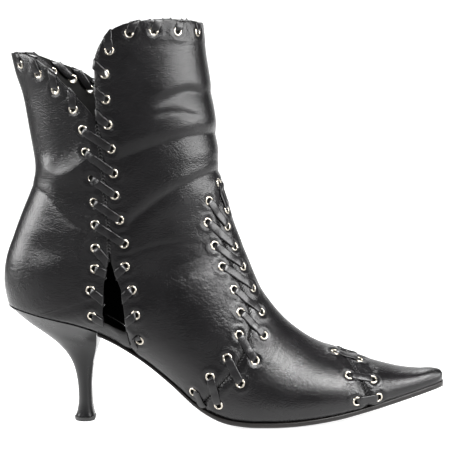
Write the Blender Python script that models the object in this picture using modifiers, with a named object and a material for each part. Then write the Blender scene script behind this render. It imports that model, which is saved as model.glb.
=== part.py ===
"""Right lace-up ankle boot with a pointed toe and a slim flared heel.

Sizes are in millimetres and MM turns them into metres. X runs from heel to toe, Z is up and the
outer side of the foot is at negative Y. The toe, collar and heel follow the side view of the photo.
"""
import math

import bmesh
import bpy
import numpy as np
from mathutils import Vector
from mathutils.bvhtree import BVHTree

for old in list(bpy.data.objects):
    bpy.data.objects.remove(old)

MM = 0.001

# Driving sizes of the last and of the leather
LENGTH = 272.5
BALL_WIDTH = 74.3
HEEL_SEAT = 75.3
COLLAR_HEIGHT = 248.5
SHAFT_WIDTH = 76.0
WALL = 1.8
GAP = 0.3
SEAT_GAP = 0.45
BREAST = 60.0
TRIM_DROP = 2.0
SEAT_DROP = 7.0
TRIM_BACK = 3.7
TRIM_TUCK = 0.96
FRAME_X = LENGTH / 2 - 0.11
FRAME_Y = -0.06

# Resolution of the upper: rows along the fan of sections, columns on each side
UPPER_ROWS = 33
UPPER_COLUMNS = 10

# Feather line, where the upper meets sole and heel, as shares of LENGTH, HEEL_SEAT and BALL_WIDTH.
# Columns: along, height, outer half width, inner half width, sole thickness in mm
FEATHER = [
    (0.0084, 1.000, 0.000, 0.000, 3.0),
    (0.0125, 0.998, 0.089, 0.089, 3.0),
    (0.0220, 0.993, 0.160, 0.160, 3.0),
    (0.0440, 0.979, 0.243, 0.242, 3.0),
    (0.0807, 0.950, 0.313, 0.310, 3.0),
    (0.1284, 0.914, 0.343, 0.339, 3.0),
    (0.1835, 0.859, 0.347, 0.336, 3.0),
    (0.2275, 0.791, 0.330, 0.310, 3.0),
    (0.2752, 0.687, 0.303, 0.269, 3.0),
    (0.3303, 0.541, 0.296, 0.249, 3.0),
    (0.3853, 0.372, 0.323, 0.269, 3.2),
    (0.4404, 0.202, 0.397, 0.343, 3.5),
    (0.4917, 0.106, 0.457, 0.431, 3.8),
    (0.5431, 0.068, 0.484, 0.488, 4.0),
    (0.5945, 0.0584, 0.489, 0.511, 4.1),
    (0.6532, 0.0584, 0.475, 0.505, 4.1),
    (0.7119, 0.072, 0.439, 0.458, 4.1),
    (0.7633, 0.092, 0.386, 0.397, 4.1),
    (0.8147, 0.122, 0.318, 0.331, 4.0),
    (0.8661, 0.159, 0.242, 0.264, 4.2),
    (0.9174, 0.199, 0.167, 0.196, 4.3),
    (0.9541, 0.230, 0.113, 0.143, 4.3),
    (0.9798, 0.252, 0.070, 0.100, 4.2),
    (0.9945, 0.266, 0.027, 0.057, 4.0),
    (1.0000, 0.271, -0.015, 0.015, 4.0),
]

# Closed sections of shaft and heel counter, from above the collar down to the seat.
# Columns: back along, back height, front along, front height, half width, widest share,
# back power, front power
SHAFT = [
    (0.038, 0.972, 0.476, 1.018, 0.506, 0.52, 2.0, 2.1),
    (0.052, 0.886, 0.482, 0.928, 0.503, 0.52, 2.0, 2.1),
    (0.067, 0.825, 0.489, 0.848, 0.500, 0.52, 2.0, 2.1),
    (0.077, 0.744, 0.497, 0.756, 0.494, 0.51, 2.0, 2.1),
    (0.085, 0.676, 0.502, 0.684, 0.485, 0.50, 2.0, 2.1),
    (0.088, 0.636, 0.500, 0.646, 0.478, 0.49, 2.0, 2.1),
    (0.076, 0.594, 0.507, 0.602, 0.472, 0.49, 2.0, 2.1),
    (0.054, 0.544, 0.514, 0.563, 0.468, 0.49, 2.0, 2.05),
    (0.030, 0.483, 0.521, 0.535, 0.466, 0.48, 2.0, 2.0),
    (0.009, 0.423, 0.528, 0.511, 0.466, 0.48, 2.0, 2.0),
    (0.001, 0.362, 0.534, 0.489, 0.467, 0.47, 2.0, 2.0),
    (0.0084, 0.303, 0.541, 0.467, 0.469, 0.46, 2.0, 2.0),
    (0.0205, 0.270, 0.5445, 0.456, 0.471, 0.46, 2.0, 2.0),
]

# Open sections of the foot, from the heel to the toe, which reach below the feather line.
# Columns: bottom along, top along, top height, outer half width, inner half width (shares of BALL_WIDTH),
# widest share, lower power, upper power
FOOT = [
    (0.0400, 0.548, 0.4450, 0.482, 0.482, 0.46, 2.0, 2.00),
    (0.0807, 0.553, 0.4278, 0.486, 0.485, 0.45, 2.0, 2.00),
    (0.1468, 0.562, 0.4024, 0.492, 0.488, 0.44, 2.0, 2.00),
    (0.2128, 0.574, 0.3662, 0.501, 0.490, 0.43, 2.0, 1.98),
    (0.2752, 0.589, 0.3260, 0.508, 0.491, 0.42, 2.0, 1.96),
    (0.3303, 0.605, 0.2978, 0.513, 0.490, 0.40, 2.0, 1.94),
    (0.3853, 0.624, 0.2696, 0.515, 0.493, 0.37, 2.0, 1.92),
    (0.4404, 0.644, 0.2447, 0.521, 0.505, 0.33, 2.0, 1.90),
    (0.4917, 0.666, 0.2233, 0.525, 0.521, 0.29, 2.0, 1.88),
    (0.5431, 0.692, 0.2020, 0.524, 0.532, 0.26, 2.0, 1.86),
    (0.5945, 0.721, 0.1847, 0.517, 0.537, 0.25, 2.0, 1.85),
    (0.6532, 0.756, 0.1690, 0.497, 0.526, 0.25, 2.0, 1.85),
    (0.7119, 0.796, 0.1525, 0.458, 0.477, 0.25, 2.0, 1.85),
    (0.7633, 0.833, 0.1376, 0.404, 0.416, 0.26, 2.0, 1.86),
    (0.8147, 0.868, 0.1260, 0.336, 0.350, 0.28, 2.0, 1.90),
    (0.8661, 0.903, 0.1167, 0.258, 0.281, 0.30, 2.0, 1.95),
    (0.9174, 0.941, 0.1119, 0.182, 0.211, 0.32, 2.0, 2.00),
    (0.9541, 0.969, 0.1123, 0.126, 0.156, 0.34, 2.0, 2.05),
    (0.9798, 0.989, 0.1083, 0.081, 0.111, 0.36, 2.0, 2.10),
    (0.9930, 0.9965, 0.1000, 0.042, 0.072, 0.38, 2.0, 2.10),
]

# Collar line in the side view, from the back round the notch to the front: along, height
COLLAR_OUTER = [
    (-6, 231.5), (16, 231), (24, 230.3), (30.5, 228.4), (38.5, 222.8), (46, 215), (53, 207.6),
    (59, 201), (63.8, 195.4), (67.2, 190), (66.8, 200), (66.9, 213), (67.2, 223.5), (68.2, 228.4),
    (70.2, 233), (73, 237.6), (76.5, 241.6), (80.5, 244.4), (86, 246.6), (93.5, 248), (103, 248.5),
    (112, 248.2), (121.5, 247.2), (128, 245.8), (140, 243.5),
]
COLLAR_INNER = [
    (-6, 231.5), (16, 231), (24, 228.8), (31, 225.6), (38.5, 222.4), (45.5, 219.6), (52, 216.2),
    (58, 211.6), (63, 206.6), (67.2, 200), (66.8, 206), (66.9, 214), (67.2, 223.5), (68.2, 228.4),
    (70.2, 233), (73, 237.6), (76.5, 241.6), (80.5, 244.4), (86, 246.6), (93.5, 248), (103, 248.5),
    (112, 248.2), (121.5, 247.2), (128, 245.8), (140, 243.5),
]
CUTTER_TOP = 275.0
CUTTER_BOTTOM = -20.0
CUTTER_REACH = 70.0

# Slit on the outer side above the sole edge: along, height
SLIT = [(70.6, 108.5), (67.2, 92), (65.6, 77), (65.0, 67.5), (79.0, 60.5), (78.8, 71), (77.4, 88)]

# Heel from the seat down.
# Columns: back along, back height, breast along, breast height, half width, breast share
HEEL = [
    (13.0, 65.2, 58.4, 53.2, 18.4, 0.86),
    (22.5, 57.8, 57.3, 48.4, 14.2, 0.80),
    (31.0, 50.6, 56.2, 44.4, 11.0, 0.74),
    (37.4, 43.0, 54.9, 40.2, 8.6, 0.68),
    (41.4, 34.6, 53.5, 34.0, 7.0, 0.62),
    (43.2, 24.0, 52.2, 24.0, 6.0, 0.58),
    (43.3, 13.0, 51.9, 13.0, 5.9, 0.58),
    (42.2, 6.5, 52.3, 6.5, 6.5, 0.58),
    (40.9, 2.9, 53.0, 2.9, 7.2, 0.58),
]
LIFT = [
    (40.3, 2.6, 53.4, 2.6, 7.6, 0.58),
    (40.5, 0.0, 53.2, 0.0, 7.4, 0.58),
]
HEEL_STEPS = (0.0, 0.03, 0.12, 0.28, 0.48, 0.68, 0.84, 0.93, 1.0)

SOLE_STATIONS = 32
FLAT_SPOT = (0.5945 * LENGTH, 0.6532 * LENGTH)
INSOLE_STATIONS = 26
INSOLE_INSET = 4.4
INSOLE_THICK = 2.0
INSOLE_LIFT = 0.25

# Eyelets beside the panel edges in the side view, from the collar down: along, height
FRONT_ROW = [
    (127.9, 240.1), (116.9, 241.2), (103.3, 241.8), (89.0, 241.1), (77.0, 231.5), (73.5, 217.8),
    (73.4, 202.8), (74.0, 187.7), (75.2, 173.4), (75.9, 158.7), (76.0, 145.5), (78.2, 130.6),
    (80.3, 116.1), (80.3, 102.2), (83.9, 88.0), (85.5, 72.6), (86.7, 56.0),
]
BACK_ROW = [
    (20.0, 224.6), (32.2, 218.6), (42.7, 209.0), (53.3, 197.5), (58.6, 185.1), (59.6, 171.6),
    (62.6, 156.0), (63.4, 141.6), (63.5, 128.1), (62.9, 113.9), (62.0, 101.5), (58.7, 88.3),
    (58.7, 72.1),
]
# The inner side is laced down to the sole, with the eyelets at even levels beside its seam
INNER_NOTCH_FRONT = [(73.5, 220.0), (73.4, 208.5), (74.0, 197.0)]
INNER_NOTCH_BACK = [(20.0, 224.6), (32.2, 217.6), (44.0, 212.4), (54.6, 205.4)]
INNER_SEAM = [(62.0, 71.5), (110.0, 71.5), (150.0, 70.0), (193.0, 67.5)]
INNER_LEVELS = [183.5 - 14.4 * k for k in range(9)]
SEAM_SETBACK = 7.2

# Eyelets beside the vamp and toe seams on the outer side, from the top down: along, out, height
VAMP_BACK = [
    (137.1, 7.7, 148.0), (131.2, 18.2, 138.5), (130.0, 20.2, 125.7), (133.8, 19.8, 111.4),
    (138.2, 22.0, 98.7), (144.8, 23.2, 84.6), (148.6, 26.5, 71.1), (147.3, 31.9, 58.2),
    (139.9, 36.7, 45.2), (129.2, 38.0, 33.9), (118.3, 31.9, 23.6),
]
VAMP_FRONT = [
    (141.3, 5.9, 131.3), (141.2, 10.7, 121.7), (145.2, 11.1, 109.2), (150.3, 12.4, 97.0),
    (155.9, 12.2, 83.3), (160.7, 17.5, 69.5), (161.9, 25.0, 56.3), (156.4, 33.6, 42.6),
    (147.3, 38.0, 29.7), (133.5, 36.1, 16.0),
]
VAMP_END = (124.6, 31.0, 14.6)
SLIT_END = (81.0, 30.0, 49.0)
SLIT_REACH = (69.2, 101.5)
TOE_BACK = [(205.6, 7.3, 41.1), (213.3, 22.6, 29.6), (217.5, 28.3, 14.6)]
TOE_FRONT = [(219.8, 6.6, 35.9), (227.5, 19.7, 26.0), (230.6, 22.9, 15.4)]

# Flat leather lace and the holes it passes
LACE_WIDTH = 4.8
LACE_THICK = 1.0
LACE_NECK = 2.5
LACE_LIFT = 1.25
EDGE_CLEAR = 2.5
HOLE_RADIUS = 2.05
HOLE_SIDES = 6

solids = bpy.data.collections.new("lace_up_ankle_boot")
cutters = bpy.data.collections.new("cutters")
bpy.context.scene.collection.children.link(solids)
bpy.context.scene.collection.children.link(cutters)


def smooth_rows(table, places):
    """Every column of a table as a smooth curve over its first column, read at the given places."""
    table = np.array(table, dtype=float)
    places = np.atleast_1d(np.array(places, dtype=float))
    knots = table[:, 0]
    slopes = np.gradient(table, knots, axis=0)
    low = np.clip(np.searchsorted(knots, places) - 1, 0, len(knots) - 2)
    span = (knots[low + 1] - knots[low])[:, None]
    t = (places[:, None] - knots[low][:, None]) / span
    start = table[low] * (1 + 2 * t) * (1 - t) ** 2 + slopes[low] * span * t * (1 - t) ** 2
    end = table[low + 1] * t * t * (3 - 2 * t) + slopes[low + 1] * span * t * t * (t - 1)
    return start + end


def feather_at(along):
    """Height, outer and inner half width and sole thickness of the feather line at distances along X."""
    rows = smooth_rows(FEATHER, np.array(along) / LENGTH)
    return rows[:, 1] * HEEL_SEAT, rows[:, 2] * BALL_WIDTH, rows[:, 3] * BALL_WIDTH, rows[:, 4]


def bottom_at(along):
    """Height and half widths of the untrimmed lower ends of the sections, below the feather line."""
    seat = np.clip(1 - np.array(along) / BREAST, 0.0, 1.0)
    height = feather_at(along)[0] - TRIM_DROP - SEAT_DROP * seat
    outer, inner = feather_at(np.array(along) - TRIM_BACK * seat)[1:3]
    return height, outer * TRIM_TUCK, inner * TRIM_TUCK


def section_rows():
    """All sections of the upper: number, back or bottom point, front or top point, widths, shape."""
    rows = []
    for back_x, back_z, front_x, front_z, half, widest, low, high in SHAFT:
        ends = (back_x * LENGTH, back_z * COLLAR_HEIGHT, front_x * LENGTH, front_z * COLLAR_HEIGHT)
        widths = (half * SHAFT_WIDTH, half * SHAFT_WIDTH, 0.0, 0.0)
        rows.append((len(rows), *ends, *widths, widest, low, high))
    for bottom_x, top_x, top_z, outer, inner, widest, low, high in FOOT:
        height, bottom_out, bottom_in = (v[0] for v in bottom_at([bottom_x * LENGTH]))
        ends = (bottom_x * LENGTH, height, top_x * LENGTH, top_z * COLLAR_HEIGHT)
        widths = (outer * BALL_WIDTH, inner * BALL_WIDTH, bottom_out, bottom_in)
        rows.append((len(rows), *ends, *widths, widest, low, high))
    return rows


def half_section(row, side, count):
    """Points of one half of a section, from the back or feather edge to the top, closer at both ends."""
    back = np.array((row[1], row[2]))
    front = np.array((row[3], row[4]))
    half = row[5] if side < 0 else row[6]
    feather = max(row[7] if side < 0 else row[8], 0.0)
    widest, low, high = row[9:12]
    length = np.linalg.norm(front - back)
    middle = widest * length
    first = math.asin(min(feather / half, 0.999) ** (low / 2))
    reach = middle / math.cos(first) ** (2 / low)
    angle = np.linspace(first, math.pi / 2, 60)
    fall = np.abs(np.cos(angle)) ** (2 / low)
    lower = np.stack((middle - reach * fall, half * np.sin(angle) ** (2 / low)), 1)
    angle = np.linspace(math.pi / 2, math.pi, 60)[1:]
    rise = np.abs(np.cos(angle)) ** (2 / high)
    upper = np.stack((middle + (length - middle) * rise, half * np.abs(np.sin(angle)) ** (2 / high)), 1)
    line = np.concatenate((lower, upper))
    gone = np.concatenate(([0.0], np.cumsum(np.linalg.norm(np.diff(line, axis=0), axis=1))))
    share = np.linspace(0.0, 1.0, count)
    even = gone[-1] * (share - np.sin(2 * math.pi * share) / (4 * math.pi))
    along = np.interp(even, gone, line[:, 0]) / length
    out = np.interp(even, gone, line[:, 1])
    flat = back[None, :] + along[:, None] * (front - back)[None, :]
    return np.stack((flat[:, 0], side * out, flat[:, 1]), 1)


def upper_grid(row_count, columns):
    """Outer face of the upper as rows of points, outer feather edge to inner feather edge."""
    table = section_rows()
    places = np.linspace(0, len(table) - 1, row_count)
    grid = []
    for place, row in zip(places, smooth_rows(table, places)):
        if place > len(SHAFT) - 1:
            row[2], row[7], row[8] = (v[0] for v in bottom_at([row[1]]))
        outer = half_section(row, -1, columns + 1)
        inner = half_section(row, 1, columns + 1)
        grid.append(np.concatenate((outer, inner[-2::-1])))
    return np.array(grid)


def to_frame(point):
    """A point in millimetres from the heel as metres in the part's frame."""
    return ((point[0] - FRAME_X) * MM, (point[1] - FRAME_Y) * MM, point[2] * MM)


def new_object(name, mesh, home):
    obj = bpy.data.objects.new(name, mesh)
    home.objects.link(obj)
    if home is cutters:
        obj.hide_render = True
        obj.display_type = "WIRE"
    return obj


def mesh_object(name, bm, home):
    """Turn a finished bmesh in millimetres into an object in the part's frame."""
    for vert in bm.verts:
        vert.co = Vector(to_frame(vert.co))
    bmesh.ops.remove_doubles(bm, verts=bm.verts, dist=0.000005)
    bmesh.ops.recalc_face_normals(bm, faces=bm.faces)
    mesh = bpy.data.meshes.new(name)
    bm.to_mesh(mesh)
    bm.free()
    return new_object(name, mesh, home)


def add_loft(bm, rings):
    """Skin closed rings of equal length, with both ends left open."""
    rows = [[bm.verts.new(point) for point in ring] for ring in rings]
    for near, far in zip(rows, rows[1:]):
        for i in range(len(near)):
            j = (i + 1) % len(near)
            bm.faces.new((near[i], near[j], far[j], far[i]))
    return rows


def close_across(bm, ring):
    """Close a ring that is laid out as two mirrored halves with quads straight across."""
    count = len(ring)
    for i in range(count // 2 - 1):
        quad = (ring[i], ring[i + 1], ring[count - 2 - i], ring[count - 1 - i])
        bm.faces.new(quad)


def edge_at(tree, along, side):
    """Half width of the trimmed upper on the feather line."""
    widths = []
    for x, z in zip(along, feather_at(along)[0]):
        hit = tree.ray_cast(Vector((x, side * CUTTER_REACH, z)), Vector((0, -side, 0)))[0]
        widths.append(abs(hit.y) if hit else 0.0)
    return np.array(widths)


def outline(tree, along, offset):
    """Plan outline of the trimmed upper, outer and inner side, moved outwards by an offset."""
    sides = []
    for sign in (-1, 1):
        width = edge_at(tree, along, sign) * sign
        step_x = np.gradient(along)
        step_y = np.gradient(width)
        size = np.hypot(step_x, step_y)
        x = along - offset * sign * step_y / size
        y = width + offset * sign * step_x / size
        sides.append(np.stack((x, y, feather_at(x)[0]), 1))
    return sides


def seat_stations():
    """Distances along X at which the heel seat is laid out."""
    back = FEATHER[0][0] * LENGTH
    return back + (BREAST - back) * np.array(HEEL_STEPS)


def sole_stations():
    """Distances along X at which the sole is laid out, closer towards the toe."""
    share = 1 - (1 - np.linspace(0, 1, SOLE_STATIONS)) ** 1.35
    along = BREAST + GAP + (LENGTH - 0.5 - BREAST - GAP) * share
    return np.sort(np.concatenate((along, FLAT_SPOT)))


def build_outsole():
    """Thin sole from the heel breast to the toe: square edge, soft lower corner, flat tread."""
    along = sole_stations()
    rings = []
    for x, height, outer, inner, thick in zip(along, *feather_at(along)):
        middle = (inner - outer) / 2
        half = (inner + outer) / 2
        reach = [half + 0.5, half + 0.6, half * 0.98 - 0.3, max(half - 7.5, half * 0.55)]
        depth = [0.0, thick * 0.5, thick * 0.76, thick]
        levels = [max(height - GAP - d, 0.0) for d in depth]
        edge = [(x, middle - r, z) for r, z in zip(reach, levels)]
        far = [(x, middle + r, z) for r, z in zip(reach, levels)]
        rings.append(edge + far[::-1])
    bm = bmesh.new()
    rows = add_loft(bm, rings)
    close_across(bm, rows[0])
    close_across(bm, rows[-1])
    return mesh_object("outsole", bm, solids)


def build_insole(tree):
    """Thin board inside the upper, from the heel to the toe."""
    share = (1 - np.cos(np.linspace(0, math.pi, INSOLE_STATIONS))) / 2
    outer, inner = outline(tree, 5.0 + (LENGTH - 11.0) * share, -INSOLE_INSET)
    floor = np.array((0.0, 0.0, INSOLE_LIFT))
    roof = floor + np.array((0.0, 0.0, INSOLE_THICK))
    bm = bmesh.new()
    rows = add_loft(bm, [(o + floor, o + roof, i + roof, i + floor) for o, i in zip(outer, inner)])
    close_across(bm, rows[0])
    close_across(bm, rows[-1])
    return mesh_object("insole", bm, solids)


def heel_ring(back_x, back_z, front_x, front_z, half, breast):
    """One level of the heel: round at the back, flat towards the breast."""
    outer = []
    for step in HEEL_STEPS:
        rounding = max(0.62 - step, 0.0) / 0.62
        flatten = max(step - 0.62, 0.0) / 0.38
        width = half * math.sqrt(1 - rounding ** 2) * (1 - (1 - breast) * flatten ** 2)
        outer.append((back_x + (front_x - back_x) * step, -width, back_z + (front_z - back_z) * step))
    return outer + [(x, -y, z) for x, y, z in reversed(outer)]


def build_heel(tree):
    """Covered heel whose cupped top follows the feather line."""
    along = seat_stations()
    height = feather_at(along)[0] - SEAT_GAP
    edge = [(x, -w, z) for x, w, z in zip(along, edge_at(tree, along, -1), height)]
    far = [(x, w, z) for x, w, z in zip(along, edge_at(tree, along, 1), height)]
    rings = [edge + far[::-1]]
    rings += [heel_ring(*row) for row in HEEL]
    bm = bmesh.new()
    rows = add_loft(bm, rings)
    close_across(bm, rows[0])
    close_across(bm, rows[-1])
    return mesh_object("heel", bm, solids)


def build_top_lift():
    """Hard lift under the heel, standing flat on the floor."""
    bm = bmesh.new()
    rows = add_loft(bm, [heel_ring(*row) for row in LIFT])
    close_across(bm, rows[0])
    close_across(bm, rows[-1])
    return mesh_object("top_lift", bm, solids)


def upper_sheet():
    """Outer face of the upper as a bmesh, closed at the toe."""
    grid = upper_grid(UPPER_ROWS, UPPER_COLUMNS)
    bm = bmesh.new()
    rows = [[bm.verts.new(point) for point in line] for line in grid]
    for near, far in zip(rows, rows[1:]):
        for i in range(len(near) - 1):
            bm.faces.new((near[i], far[i], far[i + 1], near[i + 1]))
    tip_z, tip_out, tip_in = (v[0] for v in feather_at([LENGTH])[:3])
    tip = bm.verts.new((LENGTH - 0.4, (tip_in - tip_out) / 2, tip_z - TRIM_DROP))
    for i in range(len(rows[-1]) - 1):
        bm.faces.new((rows[-1][i], tip, rows[-1][i + 1]))
    bmesh.ops.remove_doubles(bm, verts=bm.verts, dist=0.005)
    return bm


def cut(obj, name, cutter):
    """Take a cutter away from an object."""
    modifier = obj.modifiers.new(name, "BOOLEAN")
    modifier.operation = "DIFFERENCE"
    modifier.solver = "EXACT"
    modifier.object = cutter


def collar_cutter():
    """Everything above the collar line, with the notch on each side."""
    rings = []
    places = (-CUTTER_REACH, -8, 8, CUTTER_REACH)
    lines = (COLLAR_OUTER, COLLAR_OUTER, COLLAR_INNER, COLLAR_INNER)
    for y, line in zip(places, lines):
        ring = [(x, y, z) for x, z in line]
        ring += [(line[-1][0], y, CUTTER_TOP), (line[0][0], y, CUTTER_TOP)]
        rings.append(ring)
    bm = bmesh.new()
    rows = add_loft(bm, rings)
    bm.faces.new(rows[0])
    bm.faces.new(rows[-1])
    return mesh_object("collar_cutter", bm, cutters)


def seat_cutter():
    """Everything below the feather line."""
    along = np.concatenate(([-12.0], seat_stations(), sole_stations(), [LENGTH + 12.0]))
    height = feather_at(np.clip(along, FEATHER[0][0] * LENGTH, LENGTH))[0]
    rings = []
    for x, z in zip(along, height):
        corners = ((-1, z), (1, z), (1, CUTTER_BOTTOM), (-1, CUTTER_BOTTOM))
        rings.append([(x, side * CUTTER_REACH, level) for side, level in corners])
    bm = bmesh.new()
    rows = add_loft(bm, rings)
    bm.faces.new(rows[0])
    bm.faces.new(rows[-1])
    return mesh_object("seat_cutter", bm, cutters)


def slit_cutter():
    """Open slit on the outer side."""
    bm = bmesh.new()
    rows = add_loft(bm, [[(x, y, z) for x, z in SLIT] for y in (-CUTTER_REACH, -8)])
    bm.faces.new(rows[0])
    bm.faces.new(rows[-1])
    return mesh_object("slit_cutter", bm, cutters)


def build_upper():
    """Leather shell: outer face thickened inwards, then cut at collar and slit."""
    bm = upper_sheet()
    for vert in bm.verts:
        vert.co = Vector(to_frame(vert.co))
    mesh = bpy.data.meshes.new("upper")
    bm.to_mesh(mesh)
    bm.free()
    obj = new_object("upper", mesh, solids)
    wall = obj.modifiers.new("wall", "SOLIDIFY")
    wall.thickness = WALL * MM
    wall.offset = -1
    cut(obj, "seat", seat_cutter())
    cut(obj, "collar", collar_cutter())
    cut(obj, "slit", slit_cutter())
    cut(obj, "eyelet_holes", hole_cutter())
    return obj


def side_spot(along, height, side):
    """Point and outward normal of the upper seen straight from one side."""
    start = Vector((along, side * CUTTER_REACH, height))
    spot, normal = last.ray_cast(start, Vector((0, -side, 0)))[:2]
    return spot, normal


def near_spot(point, side):
    """Point and outward normal of the upper nearest to a place given for the outer side."""
    spot, normal = last.find_nearest(Vector((point[0], side * point[1], point[2])))[:2]
    return spot, normal


def inner_seam_row(offset):
    """Eyelets beside the straight seam of the inner side."""
    levels, along = zip(*INNER_SEAM)
    return [(float(np.interp(z, levels, along)) + offset, z) for z in INNER_LEVELS]


def row_spots(row, side):
    return [side_spot(x, z, side) for x, z in row]


def hole_cutter():
    """One prism through the wall at every eyelet."""
    bm = bmesh.new()
    for spot, normal in holes:
        turn = normal.to_track_quat("Z", "Y")
        ring = [2 * math.pi * k / HOLE_SIDES for k in range(HOLE_SIDES)]
        flat = [Vector((HOLE_RADIUS * math.cos(a), HOLE_RADIUS * math.sin(a), 0)) for a in ring]
        ends = [[spot + turn @ point + normal * reach for point in flat] for reach in (-WALL - 2.5, 2.5)]
        rows = add_loft(bm, ends)
        bm.faces.new(rows[0])
        bm.faces.new(rows[-1])
    return mesh_object("hole_cutter", bm, cutters)


def over_edge(line, eyelet, ahead, side):
    """Where a whip leaves an eyelet over a panel edge, a little towards the next eyelet."""
    aim = Vector(eyelet).lerp(Vector(ahead), 0.55)
    best = None
    for a, b in zip(line, line[1:]):
        a, b = Vector(a), Vector(b)
        share = min(max((aim - a).dot(b - a) / (b - a).length_squared, 0.0), 1.0)
        point = a.lerp(b, share)
        if best is None or (point - aim).length < (best - aim).length:
            best = point
    beyond = best + (best - aim).normalized() * EDGE_CLEAR
    out = side_spot(*eyelet, side)[0].y
    return last.find_nearest(Vector((beyond.x, out, beyond.y)))[:2]


def whips(line, row, ahead, side):
    """Passes of a lace that is wound over a panel edge: out at each eyelet, in over the edge."""
    passes = []
    for eyelet, after in zip(row, row[1:] + [ahead]):
        passes.append((*side_spot(*eyelet, side), LACE_NECK))
        passes.append((*over_edge(line, eyelet, after, side), 0.8 * LACE_WIDTH))
    return passes


def through(spots):
    """Passes of a lace through the given eyelets in turn."""
    return [(spot, normal, LACE_NECK) for spot, normal in spots]


def lace_line(passes, outside):
    """Centre line of a lace that goes through the wall at every pass, with outward normals and widths."""
    line = []
    for i, (spot, normal, width) in enumerate(passes):
        above = (spot + normal * LACE_LIFT, normal, width)
        below = (spot - normal * (WALL + LACE_LIFT), -normal, width)
        line += [above, below] if outside else [below, above]
        outside = not outside
        if outside and i + 1 < len(passes):
            for share in (0.3, 0.7):
                middle, face = last.find_nearest(spot.lerp(passes[i + 1][0], share))[:2]
                line.append((middle + face * LACE_LIFT, face, LACE_WIDTH))
    return line


def build_lace(name, line):
    """Flat lace along a centre line, narrowed where it goes through a hole."""
    rings = []
    for i, (centre, face, width) in enumerate(line):
        ahead = line[min(i + 1, len(line) - 1)][0] - line[max(i - 1, 0)][0]
        across = face.cross(ahead).normalized() * width / 2
        thick = ahead.cross(across).normalized() * LACE_THICK / 2
        corners = ((-1, -1), (1, -1), (1, 1), (-1, 1))
        rings.append([centre + across * a + thick * t for a, t in corners])
    bm = bmesh.new()
    rows = add_loft(bm, rings)
    bm.faces.new(rows[0])
    bm.faces.new(rows[-1])
    return mesh_object(name, bm, solids)


def run_end(point, side):
    """End of a run that tucks in at the sole edge, on the outside."""
    spot, normal = near_spot(point, side)
    return (spot + normal * LACE_LIFT, normal, LACE_NECK)


def build_laces():
    """Every run of lace, each one joined solid."""
    notch = 9
    front_edge, back_edge = COLLAR_OUTER[notch:], COLLAR_OUTER[notch::-1]
    front_in, back_in = COLLAR_INNER[notch:], COLLAR_INNER[notch::-1]
    inner_front = FRONT_ROW[:5] + INNER_NOTCH_FRONT

    passes = whips(front_edge, FRONT_ROW[7::-1], (131.0, 240.0), -1)
    passes += whips(front_in, inner_front[::-1], (131.0, 240.0), 1)[::-1]
    build_lace("collar_front_lace", lace_line(passes, False))

    passes = whips(back_edge, BACK_ROW[3::-1], (8.0, 224.0), -1)
    passes += whips(back_in, INNER_NOTCH_BACK[::-1], (8.0, 224.0), 1)[::-1]
    build_lace("collar_back_lace", lace_line(passes, False))

    passes = []
    for back, front in zip(BACK_ROW[4:9], FRONT_ROW[8:13]):
        passes += through(row_spots([back, front], -1))
    build_lace("side_lace_outer", lace_line(passes, False))

    passes = []
    for back, front in zip(inner_back[:-1], inner_seam_front[1:]):
        passes += through(row_spots([back, front], 1))
    build_lace("side_lace_inner", lace_line(passes, False))

    passes = whips([SLIT_REACH] + SLIT[1:4], BACK_ROW[9:], (60.0, 60.0), -1)
    build_lace("slit_lace_back", lace_line(passes, False))

    passes = whips(SLIT[4:] + SLIT[:1], FRONT_ROW[13:16], (86.0, 62.0), -1)
    passes += through(row_spots(FRONT_ROW[16:], -1))
    build_lace("slit_lace_front", lace_line(passes, False) + [run_end(SLIT_END, -1)])

    passes = []
    for back, front in zip(VAMP_BACK, VAMP_FRONT):
        passes += through([near_spot(back, -1), near_spot(front, -1)])
    passes += through([near_spot(VAMP_BACK[-1], -1)])
    mirrored = []
    for back, front in zip(VAMP_BACK, VAMP_FRONT):
        mirrored += through([near_spot(back, 1), near_spot(front, 1)])
    mirrored += through([near_spot(VAMP_BACK[-1], 1)])
    line = lace_line(mirrored[::-1] + passes, True)
    build_lace("vamp_lace", [run_end(VAMP_END, 1)] + line + [run_end(VAMP_END, -1)])

    passes = []
    for back, front in zip(TOE_BACK[::-1], TOE_FRONT[::-1]):
        passes += through([near_spot(back, 1), near_spot(front, 1)])
    for back, front in zip(TOE_BACK, TOE_FRONT):
        passes += through([near_spot(back, -1), near_spot(front, -1)])
    build_lace("toe_lace", lace_line(passes, False))


last = BVHTree.FromBMesh(upper_sheet())
inner_back = inner_seam_row(-SEAM_SETBACK)
inner_seam_front = inner_seam_row(SEAM_SETBACK)
holes = row_spots(FRONT_ROW + BACK_ROW, -1)
holes += row_spots(FRONT_ROW[:5] + INNER_NOTCH_FRONT + INNER_NOTCH_BACK, 1)
holes += row_spots(inner_back + inner_seam_front, 1)
for place in VAMP_BACK + VAMP_FRONT + TOE_BACK + TOE_FRONT:
    holes += [near_spot(place, -1), near_spot(place, 1)]

build_outsole()
build_insole(last)
build_heel(last)
build_top_lift()
build_upper()
build_laces()
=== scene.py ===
import math

import bpy
import numpy as np
from mathutils import Matrix, Quaternion, Vector
from mathutils.bvhtree import BVHTree


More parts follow.
